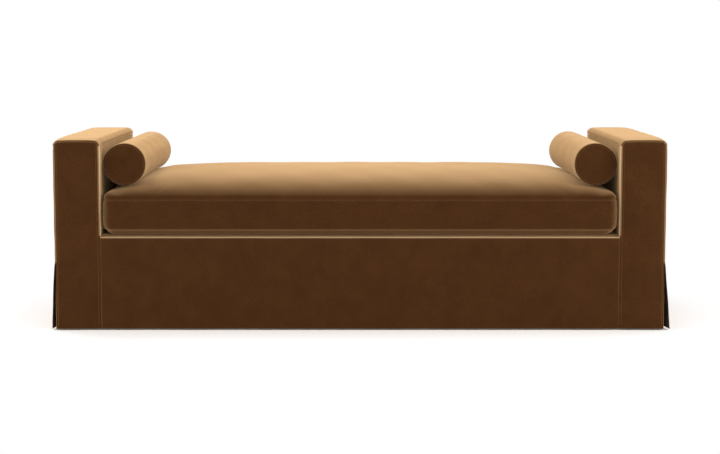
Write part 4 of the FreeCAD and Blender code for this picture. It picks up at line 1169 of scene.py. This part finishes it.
# Bolsters
# A round bolster at each end: a velvet tube with a sewn-in round end, filled tight with fibre, so
# its ends dome a little. The seam is at the rim, and a ring of topstitching runs just inside it.

RIM = 0.0035              # radius of the rim
RING_IN = 0.0065          # the topstitching's distance inside the rim
DOME = 0.005              # how far the end swells
CAP_PLACE = bolster_half - 0.001
TURNS = 160
BOLSTER_CAP = 0.003       # the most that the filling may move a point of a bolster
zip_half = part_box("bolster_right_zip")[1].y


def bolster_line():
    """Radius and place along the axis from one end's middle, over both rims, to the other's."""
    cap = np.concatenate([
        np.linspace(0, bolster_radius - RIM - 0.018, 14),
        stations(bolster_radius - RIM - 0.016, bolster_radius - RIM, 0.003, near_low=()),
    ])
    turn = np.linspace(0, math.pi / 2, 6)[1:]
    body = stations(-(CAP_PLACE - RIM), 0, 0.008, near_high=())[1:]
    rim = bolster_radius - RIM * (1 - np.sin(turn))
    radius = np.concatenate([cap, rim, np.full(len(body), bolster_radius)])
    swell = DOME * (1 - (np.clip(cap / (bolster_radius - RIM), 0, 1)) ** 2.4)
    place = np.concatenate([-CAP_PLACE - swell, -CAP_PLACE + RIM * (1 - np.cos(turn)), body])
    return np.concatenate([radius, radius[-2::-1]]), np.concatenate([place, -place[-2::-1]])


def bolster_place(side, turn, radius, place, lift):
    """A point of the bolster, turn round its axis from the arm's side."""
    x = side * (bolster_x + (radius + lift) * np.cos(turn))
    return np.stack([x, place, bolster_z + (radius + lift) * np.sin(turn)], axis=-1)


def bolster_relief(seed, turn, radius, place):
    """The swell, puckers, seams and zip slot of a bolster."""
    along = np.abs(place)
    rim_gap = CAP_PLACE - RIM - along
    tube = ease(radius, bolster_radius - RIM, bolster_radius)
    pucker = 0.0005 * np.sin(turn * 47 + 2 * np.sin(turn * 5 + seed)) * np.exp(-np.abs(rim_gap) / 0.012)
    swell = 0.0011 * waver(np.sin(turn) * 0.2, place + np.cos(turn) * 0.1, seed, 0.2)
    seam = dip(rim_gap - 0.0012, 0.0016, 0.0020) - dip(rim_gap - 0.0060, 0.0006, 0.0030)
    around = np.abs(np.angle(np.exp(1j * turn))) * bolster_radius
    slot = np.where((around < 0.0052) & (along < zip_half + 0.002), -0.0021, 0)
    return (pucker + swell + seam + slot) * tube


radii, places = bolster_line()
turns = np.linspace(0, 2 * math.pi, TURNS + 1)
radius_grid, turn_grid = np.meshgrid(radii, turns, indexing="ij")
place_grid = np.meshgrid(places, turns, indexing="ij")[0]
for side_name, side in SIDES.items():
    body = f"bolster_{side_name}"
    relief = bolster_relief(6 + side, turn_grid, radius_grid, place_grid)
    grid = bolster_place(side, turn_grid, radius_grid, place_grid, relief)
    ring = dip(radius_grid - (bolster_radius - RING_IN), 0.0005, 0.0015) * (np.abs(place_grid) >= CAP_PLACE)
    grid[..., 1] += np.sign(place_grid) * ring
    mesh = closed_mesh(f"{body}_velvet", [(grid, side > 0)])
    moves = inflated(mesh, 0.008, BOLSTER_CAP)
    spots = coordinates(mesh.vertices)
    upward = ease(spots[:, 2], bolster_z - 0.03, bolster_z + 0.02)
    inward = ease(bolster_x - spots[:, 0] * side, -0.01, 0.03)
    held = np.exp(-((CAP_PLACE - RIM - np.abs(spots[:, 1])) / 0.008) ** 2)
    ends_free = np.where(np.abs(spots[:, 1]) >= CAP_PLACE - RIM, 0.4, np.maximum(upward, inward * upward))
    set_coordinates(mesh, spots + moves * (ends_free * (1 - held))[:, None])
    piece = link(f"{body}_velvet", mesh, brown_velvet)
    stand_for(piece, body, "cushion_velvet", f"{body}_cover", f"{body}_ends")
    for end in ENDS.values():
        circle = np.linspace(0, 2 * math.pi, 400)
        inside = bolster_radius - RING_IN
        swell = DOME * (1 - (inside / (bolster_radius - RIM)) ** 2.4)
        row = bolster_place(side, circle, inside, end * (CAP_PLACE + swell) + 0 * circle, 0)
        stitch_row(body, row, np.tile([0.0, end, 0.0], (len(circle), 1)))
    sew(f"{body}_topstitching", body)
    fill_grid = bolster_place(side, turn_grid, radius_grid * 0.96, place_grid * 0.985, 0 * radius_grid)
    fill_mesh = closed_mesh(f"{body}_filling", [(fill_grid, side > 0)])
    filling = link(f"{body}_filling", fill_mesh, fibre)
    stand_for(filling, body, "fibre", f"{body}_insert")
    dress(f"{body}_zip", zip_tape, 0.0003)
    dress(f"{body}_zip_slider", bronze, 0.0006)


# Studio
# A white floor that keeps a soft shadow, a white surround and five soft square lamps: overhead, the
# key from the right front, over the left arm and at both sides. The camera is the photograph's.

world = bpy.data.worlds.new("surround")
bpy.context.scene.world = world
world.use_nodes = True
ground = world.node_tree.nodes["Background"]


def camera_sees(owner):
    """1 for a ray from the camera or a glossy surface, which shows plain white, and otherwise 0."""
    path = add_node(owner, "ShaderNodeLightPath").outputs
    rays = {0: path["Is Camera Ray"], 1: path["Is Glossy Ray"]}
    return add_node(owner, "ShaderNodeMath", rays, operation="MAXIMUM").outputs[0]


strength = add_node(world, "ShaderNodeMapRange", {"Value": camera_sees(world), "To Min": 0.8, "To Max": 1.0})
join(world, strength.outputs[0], ground, "Strength")
ground.inputs["Color"].default_value = (1, 1, 1, 1)


def lamp(name, place, aim, size, power):
    """A soft square lamp at a place, turned towards aim."""
    data = bpy.data.lights.new(name, "AREA")
    data.shape = "SQUARE"
    data.size = size
    data.energy = power
    made = bpy.data.objects.new(name, data)
    made.location = place
    made.rotation_euler = (Vector(aim) - Vector(place)).to_track_quat("-Z", "Y").to_euler()
    bpy.context.scene.collection.objects.link(made)


lamp("overhead", (0.9, 0.3, 3.2), (0, 0, 0.4), 2.4, 18)
lamp("key", (2.8, -2.2, 2.4), (0, 0, 0.3), 1.2, 26)
lamp("left_top", (-1.4, 0.2, 2.3), (-0.9, 0, 0.6), 0.8, 11)
lamp("left_side", (-3.4, -1.0, 1.7), (0.4, -0.3, 0.5), 1.4, 30)
lamp("right_side", (3.4, -1.0, 1.7), (-0.4, -0.3, 0.5), 1.4, 18)

floor_mesh = bpy.data.meshes.new("floor")
FLOOR = 30                         # half its width
corners = [(x * FLOOR, y * FLOOR, 0) for x, y in ((-1, -1), (1, -1), (1, 1), (-1, 1))]
floor_mesh.from_pydata(corners, [], [(0, 1, 2, 3)])
floor_paint, floor_shader, floor_place = start_material(
    "white_floor_paint", Roughness=0.9, Specular_IOR_Level=0.0,
)
floor_shader.inputs["Base Color"].default_value = (0.95, 0.95, 0.95, 1)
SHADOW_REACH = (1.5, 1.3, 1)      # metres from the middle at which the floor turns plain white
floor_scaled = add_node(
    floor_paint, "ShaderNodeVectorMath", {0: floor_place, 1: tuple(1 / reach for reach in SHADOW_REACH)},
    operation="MULTIPLY",
)
floor_far = add_node(floor_paint, "ShaderNodeVectorMath", {0: floor_scaled.outputs[0]}, operation="LENGTH")
floor_fade = add_node(
    floor_paint, "ShaderNodeMapRange",
    {"Value": floor_far.outputs["Value"], "From Min": 0.75, "From Max": 1.0}, interpolation_type="SMOOTHSTEP",
)
floor_seen = camera_sees(floor_paint)
floor_share = add_node(
    floor_paint, "ShaderNodeMath", {0: floor_fade.outputs[0], 1: floor_seen}, operation="MULTIPLY",
)
LIFT = 0.06                        # a little light of its own, so that the lit floor reaches white
floor_glow = add_node(floor_paint, "ShaderNodeEmission", {"Color": (1, 1, 1, 1), "Strength": 1.0})
floor_lift = add_node(
    floor_paint, "ShaderNodeMath", {0: floor_seen, 1: LIFT}, operation="MULTIPLY",
)
floor_extra = add_node(
    floor_paint, "ShaderNodeEmission", {"Color": (1, 1, 1, 1), "Strength": floor_lift.outputs[0]},
)
floor_near = add_node(
    floor_paint, "ShaderNodeAddShader", {0: floor_shader.outputs[0], 1: floor_extra.outputs[0]},
)
floor_mix = add_node(
    floor_paint, "ShaderNodeMixShader",
    {0: floor_share.outputs[0], 1: floor_near.outputs[0], 2: floor_glow.outputs[0]},
)
floor_paint.node_tree.links.new(
    floor_mix.outputs[0], floor_paint.node_tree.nodes["Material Output"].inputs["Surface"],
)
floor = link("floor", floor_mesh, floor_paint)

PHOTO_WIDE = 720                   # pixels
FOCAL_PIXELS = 1658.6              # solved from the photograph's vanishing point
CAMERA_DOWN = 6.30                 # degrees below level
camera = bpy.data.objects.new("camera", bpy.data.cameras.new("camera"))
camera.location = (0, -6.186, 0.9974)
camera.rotation_euler = (math.radians(90 - CAMERA_DOWN), 0, 0)
camera.data.lens = camera.data.sensor_width * FOCAL_PIXELS / PHOTO_WIDE
bpy.context.scene.collection.objects.link(camera)
bpy.context.scene.camera = camera
bpy.context.scene.view_settings.view_transform = "Standard"
